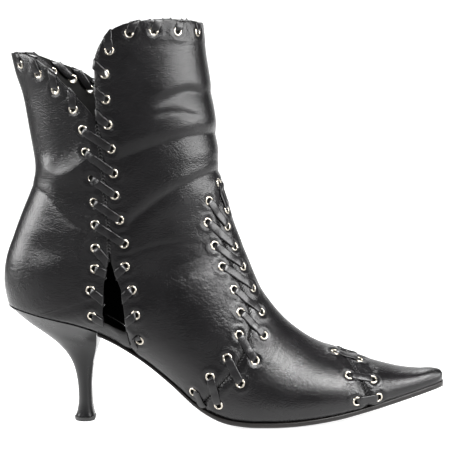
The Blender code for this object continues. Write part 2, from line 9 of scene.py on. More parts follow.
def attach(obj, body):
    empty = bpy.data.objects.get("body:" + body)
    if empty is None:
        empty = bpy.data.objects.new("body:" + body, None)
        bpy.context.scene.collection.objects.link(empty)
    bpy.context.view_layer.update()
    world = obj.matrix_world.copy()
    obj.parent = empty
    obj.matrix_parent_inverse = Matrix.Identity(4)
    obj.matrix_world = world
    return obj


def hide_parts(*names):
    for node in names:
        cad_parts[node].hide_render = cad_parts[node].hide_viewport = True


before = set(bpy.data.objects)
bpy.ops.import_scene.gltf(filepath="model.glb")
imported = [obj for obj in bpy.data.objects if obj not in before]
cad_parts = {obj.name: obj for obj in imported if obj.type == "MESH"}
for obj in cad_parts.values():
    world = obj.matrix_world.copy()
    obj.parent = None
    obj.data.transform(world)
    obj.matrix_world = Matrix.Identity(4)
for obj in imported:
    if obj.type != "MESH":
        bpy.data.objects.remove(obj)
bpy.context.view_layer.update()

# Camera
# It looks at the outer side from a little above the ankle, as the photograph does.
# A small roll gives the boot the same backward tilt in the picture.
CAMERA_PLACE = Vector((0.0530, -0.9487, 0.2500))
CAMERA_AIM = Vector((0.0033, 0.0, 0.1210))
CAMERA_ROLL = math.radians(-2.0)

bpy.ops.object.camera_add(location=CAMERA_PLACE)
camera = bpy.context.object
camera.name = "photo_camera"
camera.data.sensor_width = 36.0
camera.data.lens = 124.0
camera.rotation_mode = "QUATERNION"
level_view = (CAMERA_AIM - CAMERA_PLACE).to_track_quat("-Z", "Y")
camera.rotation_quaternion = level_view @ Quaternion((0, 0, 1), CAMERA_ROLL)
bpy.context.scene.camera = camera

# Upper
# Smooth black calf leather drawn over the last, cut as back quarter, front quarter, vamp and toe cap.
# The panels are butted edge to edge, and the edges of collar and slit are turned under.
MM = 0.001
LENGTH = 272.5
BALL_WIDTH = 74.3
HEEL_SEAT = 75.3
COLLAR_HEIGHT = 248.5
SHAFT_WIDTH = 76.0
LEATHER_THICK = 1.2
BREAST = 60.0
FRAME_X = LENGTH / 2 - 0.11
FRAME_Y = -0.06

# Feather line, where the upper meets sole and heel, as shares of LENGTH, HEEL_SEAT and BALL_WIDTH.
# Columns: along, height, outer half width, inner half width, sole thickness in mm
FEATHER = [
    (0.0084, 1.000, 0.000, 0.000, 3.0),
    (0.0125, 0.998, 0.089, 0.089, 3.0),
    (0.0220, 0.993, 0.160, 0.160, 3.0),
    (0.0440, 0.979, 0.243, 0.242, 3.0),
    (0.0807, 0.950, 0.313, 0.310, 3.0),
    (0.1284, 0.914, 0.343, 0.339, 3.0),
    (0.1835, 0.859, 0.347, 0.336, 3.0),
    (0.2275, 0.791, 0.330, 0.310, 3.0),
    (0.2752, 0.687, 0.303, 0.269, 3.0),
    (0.3303, 0.541, 0.296, 0.249, 3.0),
    (0.3853, 0.372, 0.323, 0.269, 3.2),
    (0.4404, 0.202, 0.397, 0.343, 3.5),
    (0.4917, 0.106, 0.457, 0.431, 3.8),
    (0.5431, 0.068, 0.484, 0.488, 4.0),
    (0.5945, 0.0584, 0.489, 0.511, 4.1),
    (0.6532, 0.0584, 0.475, 0.505, 4.1),
    (0.7119, 0.072, 0.439, 0.458, 4.1),
    (0.7633, 0.092, 0.386, 0.397, 4.1),
    (0.8147, 0.122, 0.318, 0.331, 4.0),
    (0.8661, 0.159, 0.242, 0.264, 4.2),
    (0.9174, 0.199, 0.167, 0.196, 4.3),
    (0.9541, 0.230, 0.113, 0.143, 4.3),
    (0.9798, 0.252, 0.070, 0.100, 4.2),
    (0.9945, 0.266, 0.027, 0.057, 4.0),
    (1.0000, 0.271, -0.015, 0.015, 4.0),
]

# Closed sections of shaft and heel counter, from above the collar down to the seat.
# Columns: back along, back height, front along, front height, half width, widest share,
# back power, front power
SHAFT = [
    (0.038, 0.972, 0.476, 1.018, 0.506, 0.52, 2.0, 2.1),
    (0.052, 0.886, 0.482, 0.928, 0.503, 0.52, 2.0, 2.1),
    (0.067, 0.825, 0.489, 0.848, 0.500, 0.52, 2.0, 2.1),
    (0.077, 0.744, 0.497, 0.756, 0.494, 0.51, 2.0, 2.1),
    (0.085, 0.676, 0.502, 0.684, 0.485, 0.50, 2.0, 2.1),
    (0.088, 0.636, 0.500, 0.646, 0.478, 0.49, 2.0, 2.1),
    (0.076, 0.594, 0.507, 0.602, 0.472, 0.49, 2.0, 2.1),
    (0.054, 0.544, 0.514, 0.563, 0.468, 0.49, 2.0, 2.05),
    (0.030, 0.483, 0.521, 0.535, 0.466, 0.48, 2.0, 2.0),
    (0.009, 0.423, 0.528, 0.511, 0.466, 0.48, 2.0, 2.0),
    (0.001, 0.362, 0.534, 0.489, 0.467, 0.47, 2.0, 2.0),
    (0.0084, 0.303, 0.541, 0.467, 0.469, 0.46, 2.0, 2.0),
    (0.0205, 0.270, 0.5445, 0.456, 0.471, 0.46, 2.0, 2.0),
]

# Open sections of the foot, from the heel to the toe, which reach below the feather line.
# Columns: bottom along, top along, top height, outer half width, inner half width (shares of BALL_WIDTH),
# widest share, lower power, upper power
FOOT = [
    (0.0400, 0.548, 0.4450, 0.482, 0.482, 0.46, 2.0, 2.00),
    (0.0807, 0.553, 0.4278, 0.486, 0.485, 0.45, 2.0, 2.00),
    (0.1468, 0.562, 0.4024, 0.492, 0.488, 0.44, 2.0, 2.00),
    (0.2128, 0.574, 0.3662, 0.501, 0.490, 0.43, 2.0, 1.98),
    (0.2752, 0.589, 0.3260, 0.508, 0.491, 0.42, 2.0, 1.96),
    (0.3303, 0.605, 0.2978, 0.513, 0.490, 0.40, 2.0, 1.94),
    (0.3853, 0.624, 0.2696, 0.515, 0.493, 0.37, 2.0, 1.92),
    (0.4404, 0.644, 0.2447, 0.521, 0.505, 0.33, 2.0, 1.90),
    (0.4917, 0.666, 0.2233, 0.525, 0.521, 0.29, 2.0, 1.88),
    (0.5431, 0.692, 0.2020, 0.524, 0.532, 0.26, 2.0, 1.86),
    (0.5945, 0.721, 0.1847, 0.517, 0.537, 0.25, 2.0, 1.85),
    (0.6532, 0.756, 0.1690, 0.497, 0.526, 0.25, 2.0, 1.85),
    (0.7119, 0.796, 0.1525, 0.458, 0.477, 0.25, 2.0, 1.85),
    (0.7633, 0.833, 0.1376, 0.404, 0.416, 0.26, 2.0, 1.86),
    (0.8147, 0.868, 0.1260, 0.336, 0.350, 0.28, 2.0, 1.90),
    (0.8661, 0.903, 0.1167, 0.258, 0.281, 0.30, 2.0, 1.95),
    (0.9174, 0.941, 0.1119, 0.182, 0.211, 0.32, 2.0, 2.00),
    (0.9541, 0.969, 0.1123, 0.126, 0.156, 0.34, 2.0, 2.05),
    (0.9798, 0.989, 0.1083, 0.081, 0.111, 0.36, 2.0, 2.10),
    (0.9930, 0.9965, 0.1000, 0.042, 0.072, 0.38, 2.0, 2.10),
]
TRIM_DROP = 2.0
SEAT_DROP = 7.0
TRIM_BACK = 3.7
TRIM_TUCK = 0.96

# Collar line in the side view, from the back round the notch to the front: along, height
COLLAR_OUTER = [
    (-6, 231.5), (16, 231), (24, 230.3), (30.5, 228.4), (38.5, 222.8), (46, 215), (53, 207.6),
    (59, 201), (63.8, 195.4), (67.2, 190), (66.8, 200), (66.9, 213), (67.2, 223.5), (68.2, 228.4),
    (70.2, 233), (73, 237.6), (76.5, 241.6), (80.5, 244.4), (86, 246.6), (93.5, 248), (103, 248.5),
    (112, 248.2), (121.5, 247.2), (128, 245.8), (140, 243.5),
]
# Numbers of the point in the notch, and of the first point from which both sides are alike
COLLAR_NOTCH = 9
COLLAR_ALIKE = 12
COLLAR_INNER = [
    (-6, 231.5), (16, 231), (24, 228.8), (31, 225.6), (38.5, 222.4), (45.5, 219.6), (52, 216.2),
    (58, 211.6), (63, 206.6), (67.2, 200), (66.8, 206), (66.9, 214),
] + COLLAR_OUTER[COLLAR_ALIKE:]
ABOVE_COLLAR = [(140, 290), (-6, 290)]
SLIT = [(70.6, 108.5), (67.2, 92), (65.6, 77), (65.0, 67.5), (79.0, 60.5), (78.8, 71), (77.4, 88)]

# Seams between the panels in the side view: along, height
SIDE_SEAM_OUTER = [
    (81.0, 40), (79.2, 60), (75.0, 64), (72.0, 72), (70.8, 108.5), (71.4, 121.7), (70.4, 136.8),
    (69.8, 151.8), (68.9, 166.8), (68.0, 180), (67.2, 190), (67.0, 260),
]
SIDE_SEAM_INNER = [(71.5, 40), (71.5, 110), (70.0, 150), (67.5, 193), (67.2, 200), (67.0, 260)]
VAMP_SEAM = [
    (138.8, 147.0), (139.0, 140.0), (136.3, 131.0), (137.6, 117.7), (142.1, 104.2), (147.1, 91.2),
    (152.9, 77.2), (155.1, 64.0), (151.8, 50.2), (143.3, 37.3), (131.2, 24.8), (123.5, 16.0), (117.0, 6.0),
]
TOE_SEAM = [(208.5, 48.0), (209.8, 41.0), (213.2, 38.2), (220.3, 27.9), (223.6, 17.2), (225.5, 6.0)]
# Outlines of all that lies in front of those two seams
BEFORE_VAMP_SEAM = [(165, 147.5)] + VAMP_SEAM + [(117, -20), (320, -20), (320, 147.5)]
BEFORE_TOE_SEAM = TOE_SEAM + [(225.5, -20), (320, -20), (320, 48)]

# Eyelets beside the panel edges in the side view, from the collar down: along, height
FRONT_ROW = [
    (127.9, 240.1), (116.9, 241.2), (103.3, 241.8), (89.0, 241.1), (77.0, 231.5), (73.5, 217.8),
    (73.4, 202.8), (74.0, 187.7), (75.2, 173.4), (75.9, 158.7), (76.0, 145.5), (78.2, 130.6),
    (80.3, 116.1), (80.3, 102.2), (83.9, 88.0), (85.5, 72.6), (86.7, 56.0),
]
BACK_ROW = [
    (20.0, 224.6), (32.2, 218.6), (42.7, 209.0), (53.3, 197.5), (58.6, 185.1), (59.6, 171.6),
    (62.6, 156.0), (63.4, 141.6), (63.5, 128.1), (62.9, 113.9), (62.0, 101.5), (58.7, 88.3),
    (58.7, 72.1),
]
INNER_NOTCH_FRONT = [(73.5, 220.0), (73.4, 208.5), (74.0, 197.0)]
INNER_NOTCH_BACK = [(20.0, 224.6), (32.2, 217.6), (44.0, 212.4), (54.6, 205.4)]
INNER_SEAM = [(62.0, 71.5), (110.0, 71.5), (150.0, 70.0), (193.0, 67.5)]
INNER_TOP = 183.5
INNER_PITCH = 14.4
INNER_LEVELS = [INNER_TOP - INNER_PITCH * k for k in range(9)]
SEAM_SETBACK = 7.2

# Eyelets beside the vamp and toe seams, from the top down: along, out, height
VAMP_BACK = [
    (137.1, 7.7, 148.0), (131.2, 18.2, 138.5), (130.0, 20.2, 125.7), (133.8, 19.8, 111.4),
    (138.2, 22.0, 98.7), (144.8, 23.2, 84.6), (148.6, 26.5, 71.1), (147.3, 31.9, 58.2),
    (139.9, 36.7, 45.2), (129.2, 38.0, 33.9), (118.3, 31.9, 23.6),
]
VAMP_FRONT = [
    (141.3, 5.9, 131.3), (141.2, 10.7, 121.7), (145.2, 11.1, 109.2), (150.3, 12.4, 97.0),
    (155.9, 12.2, 83.3), (160.7, 17.5, 69.5), (161.9, 25.0, 56.3), (156.4, 33.6, 42.6),
    (147.3, 38.0, 29.7), (133.5, 36.1, 16.0),
]
TOE_BACK = [(205.6, 7.3, 41.1), (213.3, 22.6, 29.6), (217.5, 28.3, 14.6)]
TOE_FRONT = [(219.8, 6.6, 35.9), (227.5, 19.7, 26.0), (230.6, 22.9, 15.4)]
HOLE_RADIUS = 2.05

# Creases worked in by wear, in the side view: a roll above, a sharp valley, a slow swell below.
# Columns: side (-1 outer, 1 inner), depth, roll, reach above, reach below, fade at the ends
# Then the line of the valley, from front to back
CREASES = [
    (-1, 1.0, 0.5, 6.5, 10, 14),
    [(141, 200), (133.6, 202.4), (121.8, 205.6), (115.6, 204.3), (107.8, 201.1), (97, 196)],
    (-1, 0.5, 0.1, 3.0, 5, 8),
    [(130, 189), (123.4, 191.4), (118, 193.3), (112.5, 194), (107.6, 194), (99, 191)],
    (-1, 1.5, 0.7, 8.0, 16, 11),
    [(144, 178), (134.5, 178.7), (127.2, 179.1), (120.3, 178.4), (108.3, 175.9), (96.2, 172.9), (76, 166)],
    (-1, 1.0, 0.6, 6.0, 9, 11),
    [
        (144, 156), (131.5, 154.4), (126.2, 153), (119.5, 150.3), (111.3, 146.7), (102.4, 141.8),
        (89.1, 132.7), (80, 124),
    ],
    (-1, 0.2, 0.1, 2.5, 4, 10),
    [(130, 112.5), (123.5, 113.7), (112.8, 115.2), (102.6, 114.9), (92.3, 112.3), (80, 108.8)],
    (-1, 0.5, 0.0, 4.0, 6, 12),
    [
        (66, 123.5), (57, 125.6), (50, 128.8), (44, 134), (38.5, 140.5), (33.5, 145), (28, 147.8),
        (22, 149.6), (13, 151.5),
    ],
    (-1, 0.16, 0.0, 0.9, 1.0, 6),
    [(172, 51.5), (167.8, 43.4), (161, 34.1), (155, 22)],
    (-1, 0.45, 0.15, 3.5, 4, 6),
    [(221, 38), (223.8, 34.6), (228.5, 29), (230.3, 23.8), (231.6, 18), (232, 13)],
    (1, 0.9, 0.4, 6.5, 9, 14),
    [(140, 202), (122, 206), (110, 202), (96, 195)],
    (1, 1.1, 0.6, 8.0, 13, 14),
    [(147, 177), (124, 179), (108, 175), (92, 171), (76, 165)],
    (1, 0.9, 0.5, 6.0, 9, 14),
    [(147, 156), (128, 154), (112, 147), (98, 138)],
    (1, 0.8, 0.6, 4.0, 6, 12),
    [(62, 124), (48, 130), (38, 142), (28, 148), (14, 151)],
    (1, 0.16, 0.0, 0.9, 1.0, 6),
    [(170, 50), (164, 40), (156, 26)],
]
# The roll dies away over this many times its reach
CREST_FALL = 2.4
# Lowest line of the slack leather that sags at the back of the ankle, outer side: along, height
SAG = [
    (66, 171), (61, 167), (56, 163.3), (51, 160), (45, 158), (40.4, 157.2), (36.3, 160), (33, 164.5),
    (29, 171),
]
SAG_RISE = 2.4
SAG_ROUND = 2.0
SAG_ABOVE = 13.0
SAG_BELOW = 30.0
SAG_FADE = 14
# Soft dent in the outer side of the counter: along, height, half length, half height, depth
COUNTER_DENT = (29, 113, 14, 8, 1.1)
# Lower edge of the facing inside the collar, which shows through: along, height
FACING = [
    (70, 232), (81.9, 235.2), (98.7, 236.1), (105.6, 235.8), (112.5, 235), (119.3, 233.9), (126, 233.4),
    (140, 233),
]
FACING_STEP = (0.3, 0.8)
FACING_FADE = 10
FACING_REACH = 30
# Height and width of what sinks in or stands up beside edges, seams and eyelets
TURNED_EDGE = (-0.12, 0.9)
FEATHER_TUCK = (-0.4, 1.3)
SEAM_CUT = (-0.45, 1.0)
SEAM_DIP = (-0.4, 2.6)
SEAM_ROLL = (0.3, 1.8)
SEAM_ROLL_AWAY = 4.6
EYELET_DIP = (-0.45, 3.5)
EYELET_ROLL = (0.3, 1.5)
EYELET_ROLL_AWAY = 5.0

MESH_STEP = 1.4
COLUMNS = 116


def smooth_rows(table, places):
    """Every column of a table as a smooth curve over its first column, read at the given places."""
    table = np.array(table, dtype=float)
    places = np.atleast_1d(np.array(places, dtype=float))
    knots = table[:, 0]
    slopes = np.gradient(table, knots, axis=0)
    low = np.clip(np.searchsorted(knots, places) - 1, 0, len(knots) - 2)
    span = (knots[low + 1] - knots[low])[:, None]
    t = (places[:, None] - knots[low][:, None]) / span
    start = table[low] * (1 + 2 * t) * (1 - t) ** 2 + slopes[low] * span * t * (1 - t) ** 2
    end = table[low + 1] * t * t * (3 - 2 * t) + slopes[low + 1] * span * t * t * (t - 1)
    return start + end


def feather_at(along):
    """Height, outer and inner half width and sole thickness of the feather line at distances along X."""
    rows = smooth_rows(FEATHER, np.array(along) / LENGTH)
    return rows[:, 1] * HEEL_SEAT, rows[:, 2] * BALL_WIDTH, rows[:, 3] * BALL_WIDTH, rows[:, 4]


def bottom_at(along):
    """Height and half widths of the lower ends of the sections, below the feather line."""
    seat = np.clip(1 - np.array(along) / BREAST, 0.0, 1.0)
    height = feather_at(along)[0] - TRIM_DROP - SEAT_DROP * seat
    outer, inner = feather_at(np.array(along) - TRIM_BACK * seat)[1:3]
    return height, outer * TRIM_TUCK, inner * TRIM_TUCK


def section_rows():
    """All sections of the last: number, back or bottom point, front or top point, widths, shape."""
    rows = []
    for back_x, back_z, front_x, front_z, half, widest, low, high in SHAFT:
        ends = (back_x * LENGTH, back_z * COLLAR_HEIGHT, front_x * LENGTH, front_z * COLLAR_HEIGHT)
        widths = (half * SHAFT_WIDTH, half * SHAFT_WIDTH, 0.0, 0.0)
        rows.append((len(rows), *ends, *widths, widest, low, high))
    for bottom_x, top_x, top_z, outer, inner, widest, low, high in FOOT:
        height, bottom_out, bottom_in = (v[0] for v in bottom_at([bottom_x * LENGTH]))
        ends = (bottom_x * LENGTH, height, top_x * LENGTH, top_z * COLLAR_HEIGHT)
        widths = (outer * BALL_WIDTH, inner * BALL_WIDTH, bottom_out, bottom_in)
        rows.append((len(rows), *ends, *widths, widest, low, high))
    return rows


def half_section(row, side, count):
    """Evenly spaced points of one half of a section, from the back or feather edge to the top."""
    back = np.array((row[1], row[2]))
    front = np.array((row[3], row[4]))
    half = row[5] if side < 0 else row[6]
    feather = max(row[7] if side < 0 else row[8], 0.0)
    widest, low, high = row[9:12]
    length = np.linalg.norm(front - back)
    middle = widest * length
    first = math.asin(min(feather / half, 0.999) ** (low / 2))
    reach = middle / math.cos(first) ** (2 / low)
    angle = np.linspace(first, math.pi / 2, 240)
    fall = np.abs(np.cos(angle)) ** (2 / low)
    lower = np.stack((middle - reach * fall, half * np.sin(angle) ** (2 / low)), 1)
    angle = np.linspace(math.pi / 2, math.pi, 240)[1:]
    rise = np.abs(np.cos(angle)) ** (2 / high)
    upper = np.stack((middle + (length - middle) * rise, half * np.abs(np.sin(angle)) ** (2 / high)), 1)
    line = np.concatenate((lower, upper))
    gone = np.concatenate(([0.0], np.cumsum(np.linalg.norm(np.diff(line, axis=0), axis=1))))
    even = np.linspace(0.0, gone[-1], count)
    along = np.interp(even, gone, line[:, 0]) / length
    out = np.interp(even, gone, line[:, 1])
    flat = back[None, :] + along[:, None] * (front - back)[None, :]
    return np.stack((flat[:, 0], side * out, flat[:, 1]), 1)


def last_grid(step, columns):
    """Outer face of the last as rows of points, and the number of rows that close at the back."""
    table = section_rows()

    def line_at(place, row, count):
        if place > len(SHAFT) - 1:
            row[2], row[7], row[8] = (v[0] for v in bottom_at([row[1]]))
        outer = half_section(row, -1, count + 1)
        inner = half_section(row, 1, count + 1)
        return np.concatenate((outer, inner[-2::-1]))

    whole = np.arange(len(table), dtype=float)
    coarse = [line_at(p, row, 12) for p, row in zip(whole, smooth_rows(table, whole))]
    places = []
    for k, (near, far) in enumerate(zip(coarse, coarse[1:])):
        count = math.ceil(np.linalg.norm(far - near, axis=1).max() / step)
        places += [k + j / count for j in range(count)]
    places.append(len(table) - 1.0)
    grid = [line_at(p, row, columns) for p, row in zip(places, smooth_rows(table, places))]
    tip_z, tip_out, tip_in = (v[0] for v in feather_at([LENGTH])[:3])
    tip = (LENGTH - 0.4, (tip_in - tip_out) / 2, tip_z - TRIM_DROP)
    grid.append(np.tile(tip, (2 * columns + 1, 1)))
    return np.array(grid), int(np.sum(np.array(places) <= len(SHAFT) - 1))


def line_distance(points, line):
    """Distance of side-view points to a line, and how far along the line the nearest place is."""
    nearest = np.full(len(points), np.inf)
    along = np.zeros(len(points))
    above = np.zeros(len(points), bool)
    gone = 0.0
    for a, b in zip(np.array(line, float), np.array(line[1:], float)):
        step = b - a
        t = np.clip(((points - a) @ step) / (step @ step), 0, 1)
        gap = points - (a + t[:, None] * step)
        far = np.hypot(gap[:, 0], gap[:, 1])
        closer = far < nearest
        nearest = np.where(closer, far, nearest)
        along = np.where(closer, gone + t * np.hypot(*step), along)
        above = np.where(closer, gap[:, 1] > 0, above)
        gone += np.hypot(*step)
    return nearest, along, above, gone


def outline_depth(points, outline):
    """Signed distance of side-view points to a closed outline, positive inside it."""
    closed = list(outline) + [outline[0]]
    nearest = line_distance(points, closed)[0]
    within = np.zeros(len(points), bool)
    for (ax, az), (bx, bz) in zip(closed, closed[1:]):
        crosses = (az > points[:, 1]) != (bz > points[:, 1])
        at = ax + (points[:, 1] - az) * (bx - ax) / ((bz - az) or 1.0)
        within ^= crosses & (points[:, 0] < at)
    return np.where(within, nearest, -nearest)


def side_view(points):
    return points[:, [0, 2]]


def collar_level(points):
    """Positive above the collar line."""
    outer = outline_depth(side_view(points), COLLAR_OUTER + ABOVE_COLLAR)
    inner = outline_depth(side_view(points), COLLAR_INNER + ABOVE_COLLAR)
    return np.where(points[:, 1] < 0, outer, inner)


def slit_level(points):
    """Positive inside the slit of the outer side."""
    return np.where(points[:, 1] < 0, outline_depth(side_view(points), SLIT), -50.0)


def feather_level(points):
    """Positive below the feather line."""
    along = np.clip(points[:, 0], FEATHER[0][0] * LENGTH, LENGTH)
    return feather_at(along)[0] - points[:, 2]


def side_seam_level(points):
    """Positive in front of the side seams."""
    outer = np.interp(points[:, 2], *np.array(SIDE_SEAM_OUTER, float).T[::-1])
    inner = np.interp(points[:, 2], *np.array(SIDE_SEAM_INNER, float).T[::-1])
    return points[:, 0] - np.where(points[:, 1] < 0, outer, inner)


def vamp_level(points):
    """Positive in front of the vamp seam."""
    return outline_depth(side_view(points), BEFORE_VAMP_SEAM)


def toe_level(points):
    """Positive on the toe cap."""
    return outline_depth(side_view(points), BEFORE_TOE_SEAM)


SEAM_LEVELS = (side_seam_level, vamp_level, toe_level)


def hole_level(points):
    """Positive inside an eyelet hole."""
    return HOLE_RADIUS - eyelet_distance(points, eyelet_seats)


def eyelet_distance(points, seats):
    nearest = np.full(len(points), 100.0)
    for spot, _ in seats:
        near = np.abs(points[:, 0] - spot.x) < 12
        gap = np.linalg.norm(points[near] - np.array(spot), axis=1)
        nearest[near] = np.minimum(nearest[near], gap)
    return nearest


def bell(distance, height, width):
    return height * np.exp(-(distance / width) ** 2)


def ease(distance, whole):
    """A smooth rise from 0 to 1 over a distance."""
    share = np.clip(distance / whole, 0, 1)
    return share * share * (3 - 2 * share)


def relief(points):
    """How far the leather stands off the last: turned edges, seam channels, eyelet dimples and creases."""
    flat = side_view(points)
    rise = bell(collar_level(points), *TURNED_EDGE) + bell(slit_level(points), *TURNED_EDGE)
    rise += bell(feather_level(points), *FEATHER_TUCK)
    channel = np.min([np.abs(level(points)) for level in SEAM_LEVELS], axis=0)
    rise += bell(channel, *SEAM_CUT) + bell(channel, *SEAM_DIP)
    rise += bell(channel - SEAM_ROLL_AWAY, *SEAM_ROLL)
    gap = eyelet_distance(points, eyelet_seats)
    rise += EYELET_DIP[0] * np.exp(-(gap / EYELET_DIP[1]) ** 4)
    rise += bell(gap - EYELET_ROLL_AWAY, *EYELET_ROLL)
    far, along, above, _ = line_distance(flat, FACING)
    height, width = FACING_STEP
    step = 0.5 + 0.5 * np.tanh(np.where(above, far, -far) / width)
    rise += height * step * ease(along, FACING_FADE) * (collar_level(points) > -FACING_REACH)
    far, along, above, whole = line_distance(flat, SAG)
    slack = (np.hypot(far, SAG_ROUND) - SAG_ROUND) / np.where(above, SAG_ABOVE, SAG_BELOW)
    slack = np.clip(1 - slack, 0, 1) ** 2 * ease(np.minimum(along, whole - along), SAG_FADE)
    along, height, length, tall, depth = COUNTER_DENT
    dent = bell(flat[:, 0] - along, 1, length) * bell(flat[:, 1] - height, 1, tall)
    rise += np.where(points[:, 1] < 0, SAG_RISE * slack - depth * dent, 0.0)
    for (side, depth, roll, upward, downward, fading), line in zip(CREASES[::2], CREASES[1::2]):
        far, along, above, whole = line_distance(flat, line)
        crest = (depth + roll) * np.sin(np.clip(far / upward, 0, 1) * math.pi / 2)
        crest -= roll * ease(far - upward, CREST_FALL * upward)
        swell = depth * np.sin(np.clip(far / downward, 0, 1) * math.pi / 2)
        fold = np.where(above, crest, swell) - depth
        fold *= ease(np.minimum(along, whole - along), fading)
        rise += np.where(points[:, 1] * side > 0, fold, 0.0)
    return rise


def snap_to_line(grid, level, fixed, closed):
    """Move the grid points beside a line onto it, and give every point's level, 0 on the line."""
    shape = grid.shape[:2]
    value = level(grid.reshape(-1, 3)).reshape(shape)
    best = np.full(shape, 0.5)
    place = grid.copy()
    found = np.zeros(shape, bool)
    for axis, step in ((0, 1), (0, -1), (1, 1), (1, -1)):
        other = np.roll(value, -step, axis=axis)
        beside = np.roll(grid, -step, axis=axis)
        crosses = value * other < 0
        rim = [slice(None), slice(None)]
        rim[axis] = -1 if step > 0 else 0
        crosses[tuple(rim)] = False
        share = np.where(crosses, value / np.where(crosses, value - other, 1.0), 1.0)
        better = crosses & (share <= best)
        best = np.where(better, share, best)
        place[better] = grid[better] + share[better][:, None] * (beside[better] - grid[better])
        found |= better
    move = found & ~fixed
    grid[move] = place[move]
    value[found] = 0.0
    fixed |= found
    for array in (grid, value, fixed):
        array[:closed, -1] = array[:closed, 0]
    return value


def stood_off(piece, grid, closed, depth):
    """The grid moved along its normals by the relief, less a depth."""
    normals = np.zeros(len(piece.data.vertices) * 3, np.float32)
    piece.data.vertices.foreach_get("normal", normals)
    normals = normals.reshape(grid.shape)
    normals[:closed, 0] += normals[:closed, -1]
    normals[:closed, -1] = normals[:closed, 0]
    normals /= np.maximum(np.linalg.norm(normals, axis=2, keepdims=True), 1e-9)
    if normals[closed // 2, grid.shape[1] // 4, 1] > 0:
        normals = -normals
    rise = relief(grid.reshape(-1, 3)).reshape(grid.shape[:2]) - depth
    return grid + normals * rise[..., None]


def to_frame(points):
    """Points in millimetres from the heel as metres in the part's frame."""
    return (np.asarray(points) - np.array((FRAME_X, FRAME_Y, 0.0))) * MM


def pick(piece):
    """Make a piece the only selected one, and the active one."""
    bpy.ops.object.select_all(action="DESELECT")
    piece.select_set(True)
    bpy.context.view_layer.objects.active = piece


def grid_object(name, grid):
    """A grid primitive with its points laid in place, given in millimetres."""
    rows, columns = grid.shape[:2]
    bpy.ops.object.select_all(action="DESELECT")
    bpy.ops.mesh.primitive_grid_add(x_subdivisions=columns - 1, y_subdivisions=rows - 1, size=1)
    made = bpy.context.object
    made.name = name
    made.data.name = name
    place_points(made, grid)
    return made


def place_points(piece, grid):
    piece.data.vertices.foreach_set("co", to_frame(grid).reshape(-1).astype(np.float32))
    piece.data.update()


def select_faces(piece, mask):
    """Edit mode on a piece with exactly these faces selected."""
    pick(piece)
    bpy.context.tool_settings.mesh_select_mode = (False, False, True)
    piece.data.vertices.foreach_set("select", np.zeros(len(piece.data.vertices), bool))
    piece.data.edges.foreach_set("select", np.zeros(len(piece.data.edges), bool))
    piece.data.polygons.foreach_set("select", np.ascontiguousarray(mask))
    bpy.ops.object.mode_set(mode="EDIT")


def face_corners(piece):
    """First corner and corner count of every face, and all corners' vertices."""
    faces = piece.data.polygons
    start = np.zeros(len(faces), np.int32)
    count = np.zeros(len(faces), np.int32)
    corner = np.zeros(len(piece.data.loops), np.int32)
    faces.foreach_get("loop_start", start)
    faces.foreach_get("loop_total", count)
    piece.data.loops.foreach_get("vertex_index", corner)
    return start, count, corner


def split_along_lines(piece, values):
    """Cut in two each quad that a line crosses from corner to corner."""
    start, _, corner = face_corners(piece)
    quads = corner[start[:, None] + np.arange(4)[None, :]]
    first = np.zeros(len(quads), bool)
    second = np.zeros(len(quads), bool)
    for value in values:
        at = value.reshape(-1)[quads]
        mixed = (at.max(axis=1) > 0) & (at.min(axis=1) < 0)
        first |= mixed & (at[:, 0] == 0) & (at[:, 2] == 0)
        second |= mixed & (at[:, 1] == 0) & (at[:, 3] == 0)
    kinds = np.where(first, 1, np.where(second, 2, 0)).astype(np.int32)
    mark = piece.data.attributes.new("split_kind", "INT", "FACE")
    mark.data.foreach_set("value", kinds)
    for kind, method in ((1, "FIXED"), (2, "FIXED_ALTERNATE")):
        kinds = np.zeros(len(piece.data.polygons), np.int32)
        piece.data.attributes["split_kind"].data.foreach_get("value", kinds)
        select_faces(piece, kinds == kind)
        bpy.ops.mesh.quads_convert_to_tris(quad_method=method)
        bpy.ops.object.mode_set(mode="OBJECT")
    piece.data.attributes.remove(piece.data.attributes["split_kind"])


def face_values(piece, value):
    """Mean level of the corners of every face."""
    start, count, corner = face_corners(piece)
    total = np.add.reduceat(value.reshape(-1)[corner], start)
    return total / count


def apply_modifier(piece, kind, **settings):
    pick(piece)
    modifier = piece.modifiers.new(kind.lower(), kind)
    for name, value in settings.items():
        setattr(modifier, name, value)
    bpy.ops.object.modifier_apply(modifier=modifier.name)


def keep_faces(piece, mask):
    """Delete all other faces and weld what meets."""
    select_faces(piece, ~mask)
    bpy.ops.mesh.delete(type="FACE")
    bpy.ops.mesh.select_all(action="SELECT")
    bpy.ops.mesh.remove_doubles(threshold=0.00002)
    bpy.ops.object.mode_set(mode="OBJECT")


def smooth_shade(piece, degrees):
    pick(piece)
    bpy.ops.object.shade_smooth_by_angle(angle=math.radians(degrees))


def node(material, kind, **inputs):
    """A shader node with some of its input values set."""
    made = material.node_tree.nodes.new(kind)
    for name, value in inputs.items():
        made.inputs[name.replace("_", " ")].default_value = value
    return made


def shader_input(material, name):
    return material.node_tree.nodes["Principled BSDF"].inputs[name]


def new_material(name, **values):
    """A material with some values of its shader set."""
    material = bpy.data.materials.new(name)
    material.use_nodes = True
    for socket, value in values.items():
        shader_input(material, socket.replace("_", " ")).default_value = value
    return material


def laid_on(material, kind, out="Fac", stretch=None, **inputs):
    """One output of a node that reads the piece's own coordinates, stretched or not."""
    place = node(material, "ShaderNodeTexCoord").outputs["Object"]
    made = node(material, kind, **inputs)
    if stretch:
        layers = node(material, "ShaderNodeMapping", Scale=stretch)
        material.node_tree.links.new(place, layers.inputs["Vector"])
        place = layers.outputs["Vector"]
    material.node_tree.links.new(place, made.inputs["Vector"])
    return made.outputs[out]


def drive(material, value, name):
    """Let a value drive an input of the shader."""
    material.node_tree.links.new(value, shader_input(material, name))


